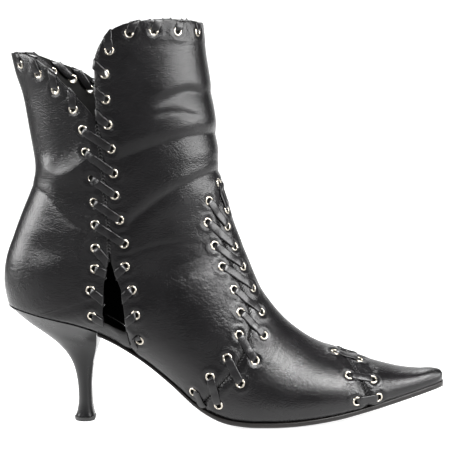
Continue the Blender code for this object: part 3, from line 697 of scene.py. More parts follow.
def ranged(material, value, **limits):
    """A value brought from one range into another."""
    spread = node(material, "ShaderNodeMapRange", **limits)
    material.node_tree.links.new(value, spread.inputs["Value"])
    return spread.outputs["Result"]


def polish(material, value, smooth, rough):
    """Uneven gloss between two values of roughness."""
    limits = {"From_Min": 0.3, "From_Max": 0.7, "To_Min": smooth, "To_Max": rough}
    drive(material, ranged(material, value, **limits), "Roughness")


def dye(material, value, *tones):
    """Colour between two tones, each given with its place."""
    ramp = node(material, "ShaderNodeValToRGB")
    for end, (place, tone) in zip(ramp.color_ramp.elements, tones):
        end.position = place
        end.color = (*tone, 1.0)
    material.node_tree.links.new(value, ramp.inputs["Fac"])
    drive(material, ramp.outputs["Color"], "Base Color")


def grain(material, height, strength, depth, under=None):
    """Relief of the surface, over a slower one where there is one."""
    bump = node(material, "ShaderNodeBump", Strength=strength, Distance=depth)
    material.node_tree.links.new(height, bump.inputs["Height"])
    if under:
        material.node_tree.links.new(under.outputs["Normal"], bump.inputs["Normal"])
    drive(material, bump.outputs["Normal"], "Normal")
    return bump


def leather(name, dark, light, gloss, grain_size, grain_depth, coat, shine=0.3):
    """Dyed leather: cloudy colour, uneven gloss, and a pebbled grain over slow ripples."""
    material = new_material(name, Specular_IOR_Level=shine, Coat_Weight=coat, Coat_Roughness=0.25)
    clouds = laid_on(material, "ShaderNodeTexNoise", Scale=38.0, Detail=4.0, Roughness=0.6)
    dye(material, clouds, (0.35, dark), (0.75, light))
    polish(material, clouds, *gloss)
    ripple = laid_on(material, "ShaderNodeTexNoise", Scale=130.0, Detail=5.0, Roughness=0.78)
    slow = grain(material, ripple, 0.8, grain_depth * 3 * MM)
    pebbles = 1.0 / (grain_size * MM)
    pebble = laid_on(material, "ShaderNodeTexVoronoi", "Distance", Scale=pebbles, Randomness=1.0)
    grain(material, pebble, 0.6, grain_depth * MM, slow).invert = True
    return material


upper_leather = leather(
    "black_calf", (0.0022, 0.002, 0.0023), (0.0045, 0.0042, 0.0047), (0.21, 0.29), 0.9, 0.17, 0.06
)
lining_leather = leather(
    "lining_leather", (0.003, 0.0028, 0.0026), (0.006, 0.0056, 0.005), (0.7, 0.85), 0.6, 0.1, 0.0, 0.2
)

grid, closed_rows = last_grid(MESH_STEP, COLUMNS)


def form_tree(points):
    """A grid of points as faces to cast on, with their normals outwards."""
    rows, columns = points.shape[:2]
    start = (np.arange(rows - 1)[:, None] * columns + np.arange(columns - 1)[None, :]).reshape(-1)
    quads = np.stack((start, start + columns, start + columns + 1, start + 1), 1)
    return BVHTree.FromPolygons([Vector(p) for p in points.reshape(-1, 3)], quads.tolist())


last_form = form_tree(grid)


def side_seat(spot, side):
    """Point and outward normal of the last, or nothing, seen straight from one side."""
    along, height = spot
    return last_form.ray_cast(Vector((along, side * 80.0, height)), Vector((0, -side, 0)))[:2]


def near_seat(point, side):
    """Point and outward normal of the last nearest to a place given for the outer side."""
    return last_form.find_nearest(Vector((point[0], side * point[1], point[2])))[:2]


def inner_seam_row(offset):
    levels, along = zip(*INNER_SEAM)
    return [(float(np.interp(z, levels, along)) + offset, z) for z in INNER_LEVELS]


inner_back = inner_seam_row(-SEAM_SETBACK)
inner_front = inner_seam_row(SEAM_SETBACK)
collar_seats = [side_seat(spot, -1) for spot in FRONT_ROW[:8] + BACK_ROW[:4]]
collar_seats += [side_seat(spot, 1) for spot in FRONT_ROW[:5] + INNER_NOTCH_FRONT + INNER_NOTCH_BACK]
seam_seats = [side_seat(spot, -1) for spot in FRONT_ROW[8:] + BACK_ROW[4:]]
seam_seats += [side_seat(spot, 1) for spot in inner_back + inner_front]
for spot in VAMP_BACK + VAMP_FRONT + TOE_BACK + TOE_FRONT:
    seam_seats += [near_seat(spot, -1), near_seat(spot, 1)]
eyelet_seats = collar_seats + seam_seats


def sheet_on_last(name, grid, closed, levels, depth):
    """Leather over the last with edges along every line: the piece, its points and their levels."""
    fixed = np.zeros(grid.shape[:2], bool)
    values = [snap_to_line(grid, level, fixed, closed) for level in levels]
    made = grid_object(name, grid)
    points = stood_off(made, grid, closed, depth)
    place_points(made, points)
    split_along_lines(made, values)
    return made, points, values


def cut_away(piece, values):
    """The faces of a sheet that lie past its edges."""
    return np.max([face_values(piece, value) for value in values], axis=0) > 0


CUTS = (collar_level, slit_level, feather_level, hole_level)
sheet, shaped, values = sheet_on_last("leather_sheet", grid, closed_rows, CUTS + SEAM_LEVELS, 0.0)
worn_form = form_tree(shaped)

SEAM_GAP = 0.14
PULL_PROBE = 0.3
seam_values = values[len(CUTS):]
gone = cut_away(sheet, values[:len(CUTS)])
side_part, vamp_part, toe_part = (face_values(sheet, value) for value in seam_values)
PANELS = [
    ("back_quarter", side_part < 0, (-1, 0, 0)),
    ("front_quarter", (side_part > 0) & (vamp_part < 0), (1, -1, 0)),
    ("vamp", (vamp_part > 0) & (toe_part < 0), (0, 1, -1)),
    ("toe_cap", toe_part > 0, (0, 0, 1)),
]


def seam_pull(level, value):
    """Unit step away from a seam, at the points that lie on it, in the side view."""
    points = shaped.reshape(-1, 3)
    push = np.zeros_like(points)
    for axis in (0, 2):
        step = np.eye(3)[axis] * PULL_PROBE
        push[:, axis] = level(points + step) - level(points - step)
    push /= np.maximum(np.linalg.norm(push, axis=1, keepdims=True), 1e-9)
    push[value.reshape(-1) != 0] = 0.0
    return push.reshape(shaped.shape)


seam_pulls = [seam_pull(level, value) for level, value in zip(SEAM_LEVELS, seam_values)]
upper_panels = []
for name, mask, pulls in PANELS:
    pick(sheet)
    bpy.ops.object.duplicate()
    panel = bpy.context.object
    panel.name = name
    panel.data.name = name
    place_points(panel, shaped + sum(p * d * SEAM_GAP for p, d in zip(pulls, seam_pulls)))
    keep_faces(panel, mask & ~gone)
    panel.data.materials.append(upper_leather)
    panel.data.materials.append(lining_leather)
    upper_panels.append(panel)
bpy.data.objects.remove(sheet)

EDGE_ROUND = 0.4
EDGE_ANGLE = math.radians(65)


def thicken(piece, thick):
    """Give a sheet its thickness towards the inside, with the outer face left in place."""
    if sum(f.normal.y * f.center.y for f in piece.data.polygons) < 0:
        piece.data.flip_normals()
    inside = len(piece.data.materials) - 1
    lined = {"material_offset": inside, "material_offset_rim": inside}
    apply_modifier(piece, "SOLIDIFY", thickness=thick * MM, offset=-1.0, use_even_offset=False, **lined)
    width = EDGE_ROUND * thick * MM
    apply_modifier(piece, "BEVEL", width=width, segments=2, limit_method="ANGLE", angle_limit=EDGE_ANGLE)
    smooth_shade(piece, 50)


for panel in upper_panels:
    thicken(panel, LEATHER_THICK)
    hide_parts("upper")
    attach(panel, "root")

# Lining
# Thin black kid leather glued to the inside of the whole upper.
# It stops just under the turned edges and is punched where the collar eyelets go through.
LINING_STEP = 2.3
LINING_COLUMNS = 74
LINING_DEPTH = 1.25
LINING_THICK = 0.5
LINING_SETBACK = 0.9


def lining_collar(points):
    return collar_level(points) + LINING_SETBACK


def lining_slit(points):
    return slit_level(points) + LINING_SETBACK


def lining_holes(points):
    return HOLE_RADIUS - eyelet_distance(points, collar_seats)


LINING_CUTS = (lining_collar, lining_slit, feather_level, lining_holes)
lining_grid = last_grid(LINING_STEP, LINING_COLUMNS)
lining, _, values = sheet_on_last("lining", *lining_grid, LINING_CUTS, LINING_DEPTH)
keep_faces(lining, ~cut_away(lining, values))
lining.data.materials.append(lining_leather)
thicken(lining, LINING_THICK)
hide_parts("upper")
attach(lining, "root")

# Seam stitching
# Waxed thread in two slanted rows that draw the butted panels together over a tape.
# The stitches lie in the seam channels of the vamp, the toe cap and both sides.
STITCH_PITCH = 2.0
STITCH_SIZE = (1.25, 0.4, 0.4)
STITCH_ROW = 0.9
STITCH_SLANT = math.radians(42)
STITCH_CLEAR = 3.7
STITCH_EDGE = 1.5
STITCH_LIFT = 0.08


def seam_places(level, value, line, side):
    """Evenly spaced places along one side of a seam, from the first end of its line."""
    points = shaped.reshape(-1, 3)
    on = (value.reshape(-1) == 0) & (points[:, 1] * side > -0.2) & (np.abs(level(points)) < 0.8)
    path = points[on]
    path = path[np.argsort(line_distance(side_view(path), line)[1])]
    for _ in range(3):
        path[1:-1] = (path[:-2] + 2 * path[1:-1] + path[2:]) / 4
    gone = np.concatenate(([0.0], np.cumsum(np.linalg.norm(np.diff(path, axis=0), axis=1))))
    at = np.arange(STITCH_PITCH / 2, gone[-1], STITCH_PITCH)
    return np.stack([np.interp(at, gone, path[:, k]) for k in range(3)], 1)


def join_copies(pattern, name, places):
    """Copies of a small pattern, each set by a matrix, joined into one piece; the pattern goes."""
    copies = []
    for place in places:
        one = pattern.copy()
        one.data = pattern.data.copy()
        one.matrix_world = place
        bpy.context.collection.objects.link(one)
        copies.append(one)
    bpy.data.objects.remove(pattern)
    bpy.ops.object.select_all(action="DESELECT")
    for one in copies:
        one.select_set(True)
    bpy.context.view_layer.objects.active = copies[0]
    bpy.ops.object.join()
    bpy.ops.object.transform_apply(location=True, rotation=True, scale=True)
    copies[0].name = name
    copies[0].data.name = name
    return copies[0]


def axes_at(spot, forward, upward):
    """Matrix in the part's frame with X forward and Z up at a point in millimetres."""
    upward = upward.normalized()
    across = upward.cross(forward).normalized()
    turn = Matrix((across.cross(upward), across, upward)).transposed().to_4x4()
    return Matrix.Translation(to_frame(spot)) @ turn


thread = new_material(
    "waxed_thread", Base_Color=(0.006, 0.0056, 0.006, 1), Roughness=0.4, Specular_IOR_Level=0.3
)
twist = laid_on(thread, "ShaderNodeTexWave", Scale=900.0, Distortion=1.0)
grain(thread, twist, 0.4, 0.1 * MM)

bpy.ops.object.select_all(action="DESELECT")
bpy.ops.mesh.primitive_uv_sphere_add(segments=8, ring_count=6, radius=MM)
stitch = bpy.context.object
bpy.ops.object.mode_set(mode="EDIT")
bpy.ops.mesh.select_all(action="SELECT")
bpy.ops.transform.resize(value=STITCH_SIZE)
bpy.ops.object.mode_set(mode="OBJECT")
smooth_shade(stitch, 60)
stitch.data.materials.append(thread)
stitch_places = []
# Columns: number of the seam, its line, side, lowest height of the stitches
STITCHED = [
    (0, SIDE_SEAM_OUTER, -1, SLIT[0][1]),
    (0, SIDE_SEAM_INNER, 1, 0),
    (1, VAMP_SEAM, -1, 0),
    (1, VAMP_SEAM, 1, 0),
    (2, TOE_SEAM, -1, 0),
    (2, TOE_SEAM, 1, 0),
]
for seam, line, side, lowest in STITCHED:
    path = seam_places(SEAM_LEVELS[seam], seam_values[seam], line, side)
    cut = np.max([collar_level(path), lowest - path[:, 2], feather_level(path)], axis=0)
    free = (cut < -STITCH_EDGE) & (eyelet_distance(path, eyelet_seats) > STITCH_CLEAR)
    for k in range(1, len(path) - 1):
        if not free[k]:
            continue
        upward = worn_form.find_nearest(Vector(path[k]))[1]
        forward = Vector(path[k + 1] - path[k - 1]).normalized()
        across = upward.cross(forward).normalized()
        for row in (-1, 1):
            lean = forward * math.cos(STITCH_SLANT) - across * row * math.sin(STITCH_SLANT)
            spot, face = worn_form.find_nearest(Vector(path[k]) + across * row * STITCH_ROW)[:2]
            stitch_places.append(axes_at(spot + face * STITCH_LIFT, lean, face))
stitching = join_copies(stitch, "seam_stitching", stitch_places)
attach(stitching, "root")

# Eyelets
# Nickel rings with a rolled rim, pushed through the punched holes and clinched on a flange inside.
# They stand in pairs along every laced edge.
EYELET_SIDES = 18
EYELET_SINK = 0.22
EYELET_PROFILE = [
    (1.80, -2.00), (1.80, -0.15), (1.90, 0.22), (2.15, 0.42), (2.50, 0.42), (2.80, 0.24), (2.92, 0.0),
    (2.80, -0.12), (2.02, -0.15), (2.00, -1.72), (2.65, -1.80), (2.75, -2.00), (2.35, -2.12),
]
CLINCH_DEPTH = 1.05

nickel = new_material("nickel", Base_Color=(0.5, 0.46, 0.395, 1), Metallic=1.0)
wear = laid_on(nickel, "ShaderNodeTexNoise", Scale=420.0, Detail=3.0)
polish(nickel, wear, 0.18, 0.34)


def turned_ring(profile):
    """One eyelet drawn ring by ring along its profile and closed on itself."""
    radius, height = profile[0]
    foot = (0, 0, height * MM)
    bpy.ops.object.select_all(action="DESELECT")
    bpy.ops.mesh.primitive_circle_add(vertices=EYELET_SIDES, radius=radius * MM, location=foot)
    bpy.ops.object.transform_apply(location=True)
    ring = bpy.context.object
    bpy.context.tool_settings.mesh_select_mode = (False, True, False)
    bpy.ops.object.mode_set(mode="EDIT")
    bpy.ops.mesh.select_all(action="SELECT")
    for next_radius, next_height in profile[1:]:
        rise = (0, 0, (next_height - height) * MM)
        bpy.ops.mesh.extrude_edges_move(TRANSFORM_OT_translate={"value": rise})
        share = next_radius / radius
        bpy.ops.transform.resize(value=(share, share, 1.0))
        radius, height = next_radius, next_height
    bpy.ops.mesh.select_all(action="DESELECT")
    bpy.ops.mesh.select_non_manifold()
    bpy.ops.mesh.bridge_edge_loops()
    bpy.ops.mesh.select_all(action="SELECT")
    bpy.ops.mesh.normals_make_consistent(inside=False)
    bpy.ops.object.mode_set(mode="OBJECT")
    smooth_shade(ring, 60)
    ring.data.materials.append(nickel)
    return ring


def set_eyelets(name, profile, seats):
    places = [axes_at(spot - face * EYELET_SINK, face.orthogonal(), face) for spot, face in seats]
    made = join_copies(turned_ring(profile), name, places)
    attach(made, "root")


short_profile = [(r, max(h, -CLINCH_DEPTH + (h + 2.0) * 0.25)) for r, h in EYELET_PROFILE]
set_eyelets("collar_eyelets", EYELET_PROFILE, collar_seats)
set_eyelets("seam_eyelets", short_profile, seam_seats)

# Insole
# Leather board on which the foot stands, inside the upper from the heel to the toe.
# It is cut to the feather line and covered with the same thin leather as the lining.
INSOLE_STATIONS = 90
INSOLE_INSET = 4.4
INSOLE_THICK = 2.0
INSOLE_LIFT = 0.25
INSOLE_BACK = 5.0
INSOLE_SHORT = 11.0
# Shares of thickness and width at which the upper edge is chamfered
INSOLE_SHOULDER = 0.8
INSOLE_CHAMFER = 0.02


def edge_widths(along, side):
    """Half width of the upper on the feather line."""
    widths = []
    for x, z in zip(along, feather_at(along)[0]):
        hit = side_seat((x, z), side)[0]
        widths.append(abs(hit.y) if hit else 0.0)
    return np.array(widths)


def closed_piece(name, rings, degrees, *materials):
    """Skin closed rings of equal length, with both ends filled."""
    rings = np.array(rings, dtype=float)
    made = grid_object(name, np.concatenate((rings, rings[:, :1]), axis=1))
    bpy.ops.object.mode_set(mode="EDIT")
    bpy.ops.mesh.select_all(action="SELECT")
    bpy.ops.mesh.remove_doubles(threshold=0.000004)
    bpy.ops.mesh.fill_holes(sides=0)
    bpy.ops.mesh.select_all(action="SELECT")
    bpy.ops.mesh.normals_make_consistent(inside=False)
    bpy.ops.object.mode_set(mode="OBJECT")
    smooth_shade(made, degrees)
    for material in materials:
        made.data.materials.append(material)
    return made


share = (1 - np.cos(np.linspace(0, math.pi, INSOLE_STATIONS))) / 2
board = INSOLE_BACK + (LENGTH - INSOLE_SHORT) * share
sides = []
for side in (-1, 1):
    width = edge_widths(board, side) * side
    step_x, step_y = np.gradient(board), np.gradient(width)
    size = np.hypot(step_x, step_y)
    x = board + INSOLE_INSET * side * step_y / size
    y = width - INSOLE_INSET * side * step_x / size
    sides.append(np.stack((x, y, feather_at(x)[0] + INSOLE_LIFT), 1))
roof = np.array((0.0, 0.0, INSOLE_THICK))
insole_rings = []
for outer, inner in zip(*sides):
    chamfer = (inner - outer) * INSOLE_CHAMFER
    shoulder = roof * INSOLE_SHOULDER
    top = [outer + chamfer + roof, inner - chamfer + roof]
    insole_rings.append([outer, outer + shoulder, *top, inner + shoulder, inner])
foot_bed = closed_piece("foot_bed", insole_rings, 40, lining_leather)
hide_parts("insole")
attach(foot_bed, "root")

# Outsole
# One thin leather sole from the heel breast to the toe, cemented to the upper, with a dyed waxed edge.
# A narrow groove is left where it meets the upper.
SOLE_GAP = 0.3
SOLE_STATIONS = 170
SOLE_CROWDING = 1.35
SOLE_SHORT = 0.5
SOLE_LEAST = 0.55
# Profile of half the sole: beyond the feather line, share of the half width, share of the thickness
SOLE_PROFILE = [
    (-2.2, 1.0, 0.0), (-0.1, 1.0, 0.0), (0.35, 1.0, 0.06), (0.52, 1.0, 0.18), (0.6, 1.0, 0.42),
    (0.5, 1.0, 0.60), (0.1, 0.99, 0.74), (-0.9, 0.97, 0.85), (-3.2, 0.95, 0.945), (-6.8, 0.95, 1.0),
]

sole_leather = new_material("waxed_sole_leather", Roughness=0.42, Specular_IOR_Level=0.3)
SOLE_LAYERS = (1.0, 1.0, 6.0)
fibre = laid_on(
    sole_leather, "ShaderNodeTexNoise", stretch=SOLE_LAYERS, Scale=160.0, Detail=5.0, Roughness=0.65
)
dye(sole_leather, fibre, (0.3, (0.004, 0.0036, 0.0035)), (0.8, (0.012, 0.0098, 0.0088)))
grain(sole_leather, fibre, 0.3, 0.3 * MM)

share = 1 - (1 - np.linspace(0, 1, SOLE_STATIONS)) ** SOLE_CROWDING
along = BREAST + SOLE_GAP + (LENGTH - SOLE_SHORT - BREAST - SOLE_GAP) * share
sole_rings = []
for x, height, outer, inner, thick in zip(along, *feather_at(along)):
    middle = (inner - outer) / 2
    half = (inner + outer) / 2
    reach = [max(half * part + beyond, half * SOLE_LEAST) for beyond, part, _ in SOLE_PROFILE]
    levels = [max(height - SOLE_GAP - thick * depth, 0.0) for _, _, depth in SOLE_PROFILE]
    edge = [(x, middle - r, z) for r, z in zip(reach, levels)]
    sole_rings.append(edge + [(x, middle + r, z) for r, z in zip(reach, levels)][::-1])
tread = closed_piece("sole_leather", sole_rings, 45, sole_leather)
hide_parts("outsole")
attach(tread, "root")

# Heel
# Turned block covered in satin black, set under the seat and hollowed to take the counter.
# The cover is drawn round the back and folded in at the flat breast.
SEAT_GAP = 0.25
HEEL_ROUND = 0.62
HEEL_POINTS = 26
HEEL_CROWDING = 1.6
HEEL_CORNER = 0.97
HEEL_LEVELS = 70
# Columns of both tables: back along, back height, breast along, breast height, half width, breast share
HEEL = [
    (13.0, 65.2, 58.4, 53.2, 18.4, 0.86),
    (22.5, 57.8, 57.3, 48.4, 14.2, 0.80),
    (31.0, 50.6, 56.2, 44.4, 11.0, 0.74),
    (37.4, 43.0, 54.9, 40.2, 8.6, 0.68),
    (41.4, 34.6, 53.5, 34.0, 7.0, 0.62),
    (43.2, 24.0, 52.2, 24.0, 6.0, 0.58),
    (43.3, 13.0, 51.9, 13.0, 5.9, 0.58),
    (42.2, 6.5, 52.3, 6.5, 6.5, 0.58),
    (40.9, 2.9, 53.0, 2.9, 7.2, 0.58),
]
heel_steps = np.linspace(0, 1, HEEL_POINTS) ** HEEL_CROWDING
heel_steps = np.sort(np.concatenate((heel_steps, [HEEL_CORNER])))


def heel_ring(back_x, back_z, front_x, front_z, half, breast):
    """One level of the heel: round at the back, flat towards the breast."""
    rounding = np.clip(HEEL_ROUND - heel_steps, 0, None) / HEEL_ROUND
    flatten = np.clip(heel_steps - HEEL_ROUND, 0, None) / (1 - HEEL_ROUND)
    width = half * np.sqrt(1 - rounding ** 2) * (1 - (1 - breast) * flatten ** 2)
    x = back_x + (front_x - back_x) * heel_steps
    z = back_z + (front_z - back_z) * heel_steps
    outer = np.stack((x, -width, z), 1)
    return np.concatenate((outer, (outer * (1, -1, 1))[::-1]))


heel_cover = new_material("satin_heel_cover", Base_Color=(0.004, 0.004, 0.0044, 1), Specular_IOR_Level=0.3)
smudge = laid_on(heel_cover, "ShaderNodeTexNoise", Scale=60.0, Detail=5.0, Roughness=0.6)
polish(heel_cover, smudge, 0.22, 0.36)
grain(heel_cover, smudge, 0.15, 0.4 * MM)

back = FEATHER[0][0] * LENGTH
seat = back + (BREAST - back) * heel_steps
seat_height = feather_at(seat)[0] - SEAT_GAP
seat_outer = np.stack((seat, -edge_widths(seat, -1), seat_height), 1)
seat_inner = np.stack((seat, edge_widths(seat, 1), seat_height), 1)
heel_table = [np.concatenate((seat_outer, seat_inner[::-1]))] + [heel_ring(*row) for row in HEEL]
knots = np.arange(len(heel_table), dtype=float)
table = np.column_stack((knots, np.array(heel_table).reshape(len(heel_table), -1)))
heel_rings = smooth_rows(table, np.linspace(0, knots[-1], HEEL_LEVELS))[:, 1:]
heel_rings = heel_rings.reshape(HEEL_LEVELS, -1, 3)
heel_block = closed_piece("covered_heel", heel_rings, 45, heel_cover)
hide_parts("heel")
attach(heel_block, "root")

# Top lift
# Hard rubber piece nailed under the heel, a little wider than it, flat on the floor.
# Its edges are ground round.
LIFT = [
    (40.75, 2.6, 53.05, 2.6, 7.25, 0.58), (40.35, 2.35, 53.35, 2.35, 7.55, 0.58),
    (40.3, 1.2, 53.4, 1.2, 7.6, 0.58), (40.4, 0.35, 53.3, 0.35, 7.5, 0.58),
    (40.7, 0.0, 53.0, 0.0, 7.2, 0.58),
]
lift_rubber = new_material("lift_rubber", Base_Color=(0.008, 0.008, 0.008, 1), Roughness=0.45)
grit = laid_on(lift_rubber, "ShaderNodeTexNoise", Scale=900.0, Detail=3.0)
grain(lift_rubber, grit, 0.3, 0.2 * MM)
heel_tip = closed_piece("heel_tip", [heel_ring(*row) for row in LIFT], 40, lift_rubber)
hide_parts("top_lift")
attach(heel_tip, "root")

# Laces
# Flat black leather thong, wound over the collar and slit edges and drawn across the seams.
# Each run goes through the eyelets in turn, and its ends are tucked inside or under the sole edge.
LACE_WIDTH = 5.0
LACE_NECK = 3.1
LACE_THICK = 0.9
LACE_HUG = 0.62
LACE_CUP = 0.3
LACE_INSIDE = 2.95
LACE_STEP = 0.9
# A run is held down in its middle from the first length on, and at three places from the second
LACE_HELD = (9.5, 14)
LACE_HOLD = 5.2
LACE_SINK = 0.75
LACE_SPAN = 0.13
# Keys of a lace that goes through a hole. Columns: off the leather, along the run, width
HOLE_KEYS = [
    (0.74, -2.9, LACE_WIDTH), (0.5, -1.3, 4.5), (-0.8, 0.0, LACE_NECK), (-2.5, 1.0, 3.2),
    (-LACE_INSIDE, 3.4, 4.4),
]
# Keys of a lace that goes over an edge. Columns: off the leather, along the run, beyond the edge
EDGE_KEYS = [(0.66, -2.0, 0.0), (0.2, 0.0, -0.05), (-0.95, 0.0, 0.28), (-2.1, 0.0, -0.05), (-2.7, 2.0, 0.0)]
EDGE_SLANT = 0.75
# Keys of a tucked end. Columns: off the leather, along the run, share of the width
TUCK_KEYS = [(0.8, -2.5, 1.0), (0.6, 0.0, 0.9), (-0.6, 1.6, 0.8)]
VAMP_END = (124.6, 31.0, 14.6)
SLIT_END = (81.0, 30.0, 49.0)
SLIT_REACH = (69.9, 105.0)
# How the whips lean from their eyelets to the edge, along and up, in the order of the eyelet rows
FRONT_LEANS = [
    (1.5, 4.6), (2.7, 4.9), (4.1, 5.9), (3.8, 5.9), (-0.6, 9.7), (-4.2, 5.6), (-6, 5), (-7.2, 6.2),
]
BACK_LEANS = [(-3.8, 7), (-3.8, 11.6), (0.4, 11.5), (0.5, 10.2)]
INNER_FRONT_LEANS = FRONT_LEANS[:5] + [(-6, 1.5)] * 3
INNER_BACK_LEANS = [(-1, 6.5), (2.5, 7), (3, 6.5), (4, 6)]
SLIT_BACK_LEANS = [(6.9, -7.3), (6, -3.3), (7.3, -6.4), (6.3, -6.3)]
SLIT_FRONT_LEANS = [(-4.9, -4.6), (-6.7, -5.3), (-5.9, -5)]
# Cross-section round its edge, as shares of half width and half thickness
LACE_SECTION = [
    (-1.0, 0.3), (-0.96, 0.75), (-0.87, 0.97), (-0.7, 1.0), (0.7, 1.0), (0.87, 0.97), (0.96, 0.75),
    (1.0, 0.3), (1.0, -0.4), (0.93, -0.85), (0.75, -1.0), (-0.75, -1.0), (-0.93, -0.85), (-1.0, -0.4),
]


def edge_pass(line, eyelet, lean, side):
    """Where a whip from an eyelet goes over a panel edge, and which way is beyond that edge."""
    aim = np.add(eyelet, lean)
    best = None
    for a, b in zip(np.array(line, float), np.array(line[1:], float)):
        step = b - a
        point = a + step * np.clip((aim - a) @ step / (step @ step), 0, 1)
        if best is None or np.hypot(*(point - aim)) < np.hypot(*(best - aim)):
            best = point
            out = np.array((-step[1], step[0]))
    out *= np.sign(out @ lean)
    depth = side_seat(eyelet, side)[0].y
    spot, normal = last_form.find_nearest(Vector((best[0], depth, best[1])))[:2]
    beyond = Vector((out[0], 0.0, out[1]))
    beyond = (beyond - normal * beyond.dot(normal)).normalized()
    return spot, normal, beyond


def whips(line, row, leans, side):
    """Passes of a lace wound over a panel edge: out at each eyelet, in over the edge."""
    passes = []
    for eyelet, lean in zip(row, leans):
        passes.append((*side_seat(eyelet, side), None))
        passes.append(edge_pass(line, eyelet, lean, side))
    return passes


def seam_passes(back_row, front_row, seat, side):
    """Passes from back eyelet to front eyelet, down one side of a seam."""
    return [(*seat(spot, side), None) for pair in zip(back_row, front_row) for spot in pair]


def pass_keys(spot, normal, beyond, arrive, leave, outside):
    """Centre, cross direction and width of a lace where it goes through a hole or over an edge."""
    turn = 1 if outside else -1
    a = arrive if outside else -leave
    b = leave if outside else -arrive
    over = normal.cross(a).normalized()
    under = -normal.cross(b).normalized()
    if beyond is None:
        middle = over + under if over.dot(under) > -0.5 else over
        crosses = (over, over, middle, under, under)
        heights, runs, widths = zip(*HOLE_KEYS)
        aways = [Vector()] * len(HOLE_KEYS)
    else:
        rim = normal.cross(beyond).normalized()
        wide = LACE_WIDTH / max(over.dot(rim), EDGE_SLANT)
        wide_in = LACE_WIDTH / max(under.dot(rim), EDGE_SLANT)
        crosses = (over, rim, rim, rim, under)
        widths = (LACE_WIDTH, wide, (wide + wide_in) / 2, wide_in, LACE_WIDTH)
        heights, runs, past = zip(*EDGE_KEYS)
        aways = [beyond * far for far in past]
    keys = []
    for height, run, away, cross, width in zip(heights, runs, aways, crosses, widths):
        centre = spot + normal * height + (a if run < 0 else b) * run + away
        keys.append((centre, cross.normalized() * turn, width))
    return keys[::turn]


def run_keys(start, end, outside):
    """Keys of a lace between two passes, held against the leather."""
    way = end - start
    shares = [0.5] if way.length >= LACE_HELD[0] else []
    if way.length >= LACE_HELD[1]:
        aside = 0.5 - LACE_HOLD / way.length
        shares = [0.5 - aside, 0.5, 0.5 + aside]
    keys = []
    for share in shares:
        spot, face = last_form.find_nearest(start.lerp(end, share))[:2]
        spans = [start.lerp(end, share + d) for d in (-LACE_SPAN, 0, LACE_SPAN)]
        around = [last_form.find_nearest(span)[0] for span in spans]
        sunk = LACE_SINK * relief(np.array(around)).max()
        height, turn = (LACE_HUG + sunk, 1) if outside else (-LACE_INSIDE, -1)
        keys.append((spot + face * height, face.cross(way).normalized() * turn, LACE_WIDTH))
    return keys


def flat_way(start, end, normal):
    way = end - start
    return (way - normal * way.dot(normal)).normalized()


def lace_keys(passes, outside):
    """All keys of a lace that goes through the wall at every pass."""
    keys = []
    for i, (spot, normal, beyond) in enumerate(passes):
        ahead = passes[i + 1][0] if i + 1 < len(passes) else None
        behind = passes[i - 1][0] if i else None
        leave = flat_way(spot, ahead, normal) if ahead else None
        arrive = flat_way(behind, spot, normal) if behind else -leave
        keys += pass_keys(spot, normal, beyond, arrive, leave if leave else -arrive, outside)
        outside = not outside
        if ahead:
            keys += run_keys(spot, ahead, outside)
    return keys


def tuck_keys(point, side, toward):
    """Keys of a lace end that is tucked in at the sole edge, seen from the eyelet it comes from."""
    spot, normal = near_seat(point, side)
    way = flat_way(toward, spot, normal)
    across = normal.cross(way).normalized()
    return [
        (spot + normal * height + way * run, across, share * LACE_WIDTH) for height, run, share in TUCK_KEYS
    ]


def build_lace(name, node_name, passes, start=(), end=(), outside=False):
    """Sweep the flat section through all passes, close both ends and put it in place of its node."""
    keys = [*start, *lace_keys(passes, outside), *end]
    rows = np.array([[*centre, *across, width] for centre, across, width in keys])
    span = np.linalg.norm(np.diff(rows[:, :3], axis=0), axis=1)
    knots = np.concatenate(([0.0], np.cumsum(np.maximum(span, 0.2))))
    places = [0.0]
    for start, end in zip(knots, knots[1:]):
        count = math.ceil((end - start) / LACE_STEP)
        places += [start + (end - start) * (k + 1) / count for k in range(count)]
    path = smooth_rows(np.column_stack((knots, rows)), places)[:, 1:]
    centre, across, width = path[:, :3], path[:, 3:6], path[:, 6:]
    ahead = np.gradient(centre, axis=0)
    across /= np.linalg.norm(across, axis=1, keepdims=True)
    face = np.cross(ahead, across)
    face /= np.linalg.norm(face, axis=1, keepdims=True)
    rings = []
    for a, t in LACE_SECTION:
        rings.append(centre + across * width / 2 * a + face * (LACE_THICK / 2 * t - LACE_CUP * a * a))
    piece = closed_piece(name, np.stack(rings, 1), 50, lace_leather)
    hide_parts(node_name)
    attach(piece, "root")


lace_leather = leather(
    "lace_thong", (0.0045, 0.0042, 0.0046), (0.008, 0.0077, 0.0082), (0.2, 0.3), 0.7, 0.07, 0.1
)
front_edge, back_edge = COLLAR_OUTER[COLLAR_NOTCH:], COLLAR_OUTER[COLLAR_NOTCH::-1]
front_in, back_in = COLLAR_INNER[COLLAR_NOTCH:], COLLAR_INNER[COLLAR_NOTCH::-1]
passes = whips(front_edge, FRONT_ROW[7::-1], FRONT_LEANS[::-1], -1)
build_lace("front_collar_thong", "collar_front_lace", passes)
passes = whips(front_in, (FRONT_ROW[:5] + INNER_NOTCH_FRONT)[::-1], INNER_FRONT_LEANS[::-1], 1)
build_lace("front_collar_thong_inner", "collar_front_lace", passes)
passes = whips(back_edge, BACK_ROW[3::-1], BACK_LEANS[::-1], -1)
build_lace("back_collar_thong", "collar_back_lace", passes)
passes = whips(back_in, INNER_NOTCH_BACK, INNER_BACK_LEANS, 1)
build_lace("back_collar_thong_inner", "collar_back_lace", passes)

passes = seam_passes(BACK_ROW[4:9], FRONT_ROW[8:13], side_seat, -1)
build_lace("outer_side_thong", "side_lace_outer", passes)
passes = seam_passes(inner_back[:-1], inner_front[1:], side_seat, 1)
build_lace("inner_side_thong", "side_lace_inner", passes)

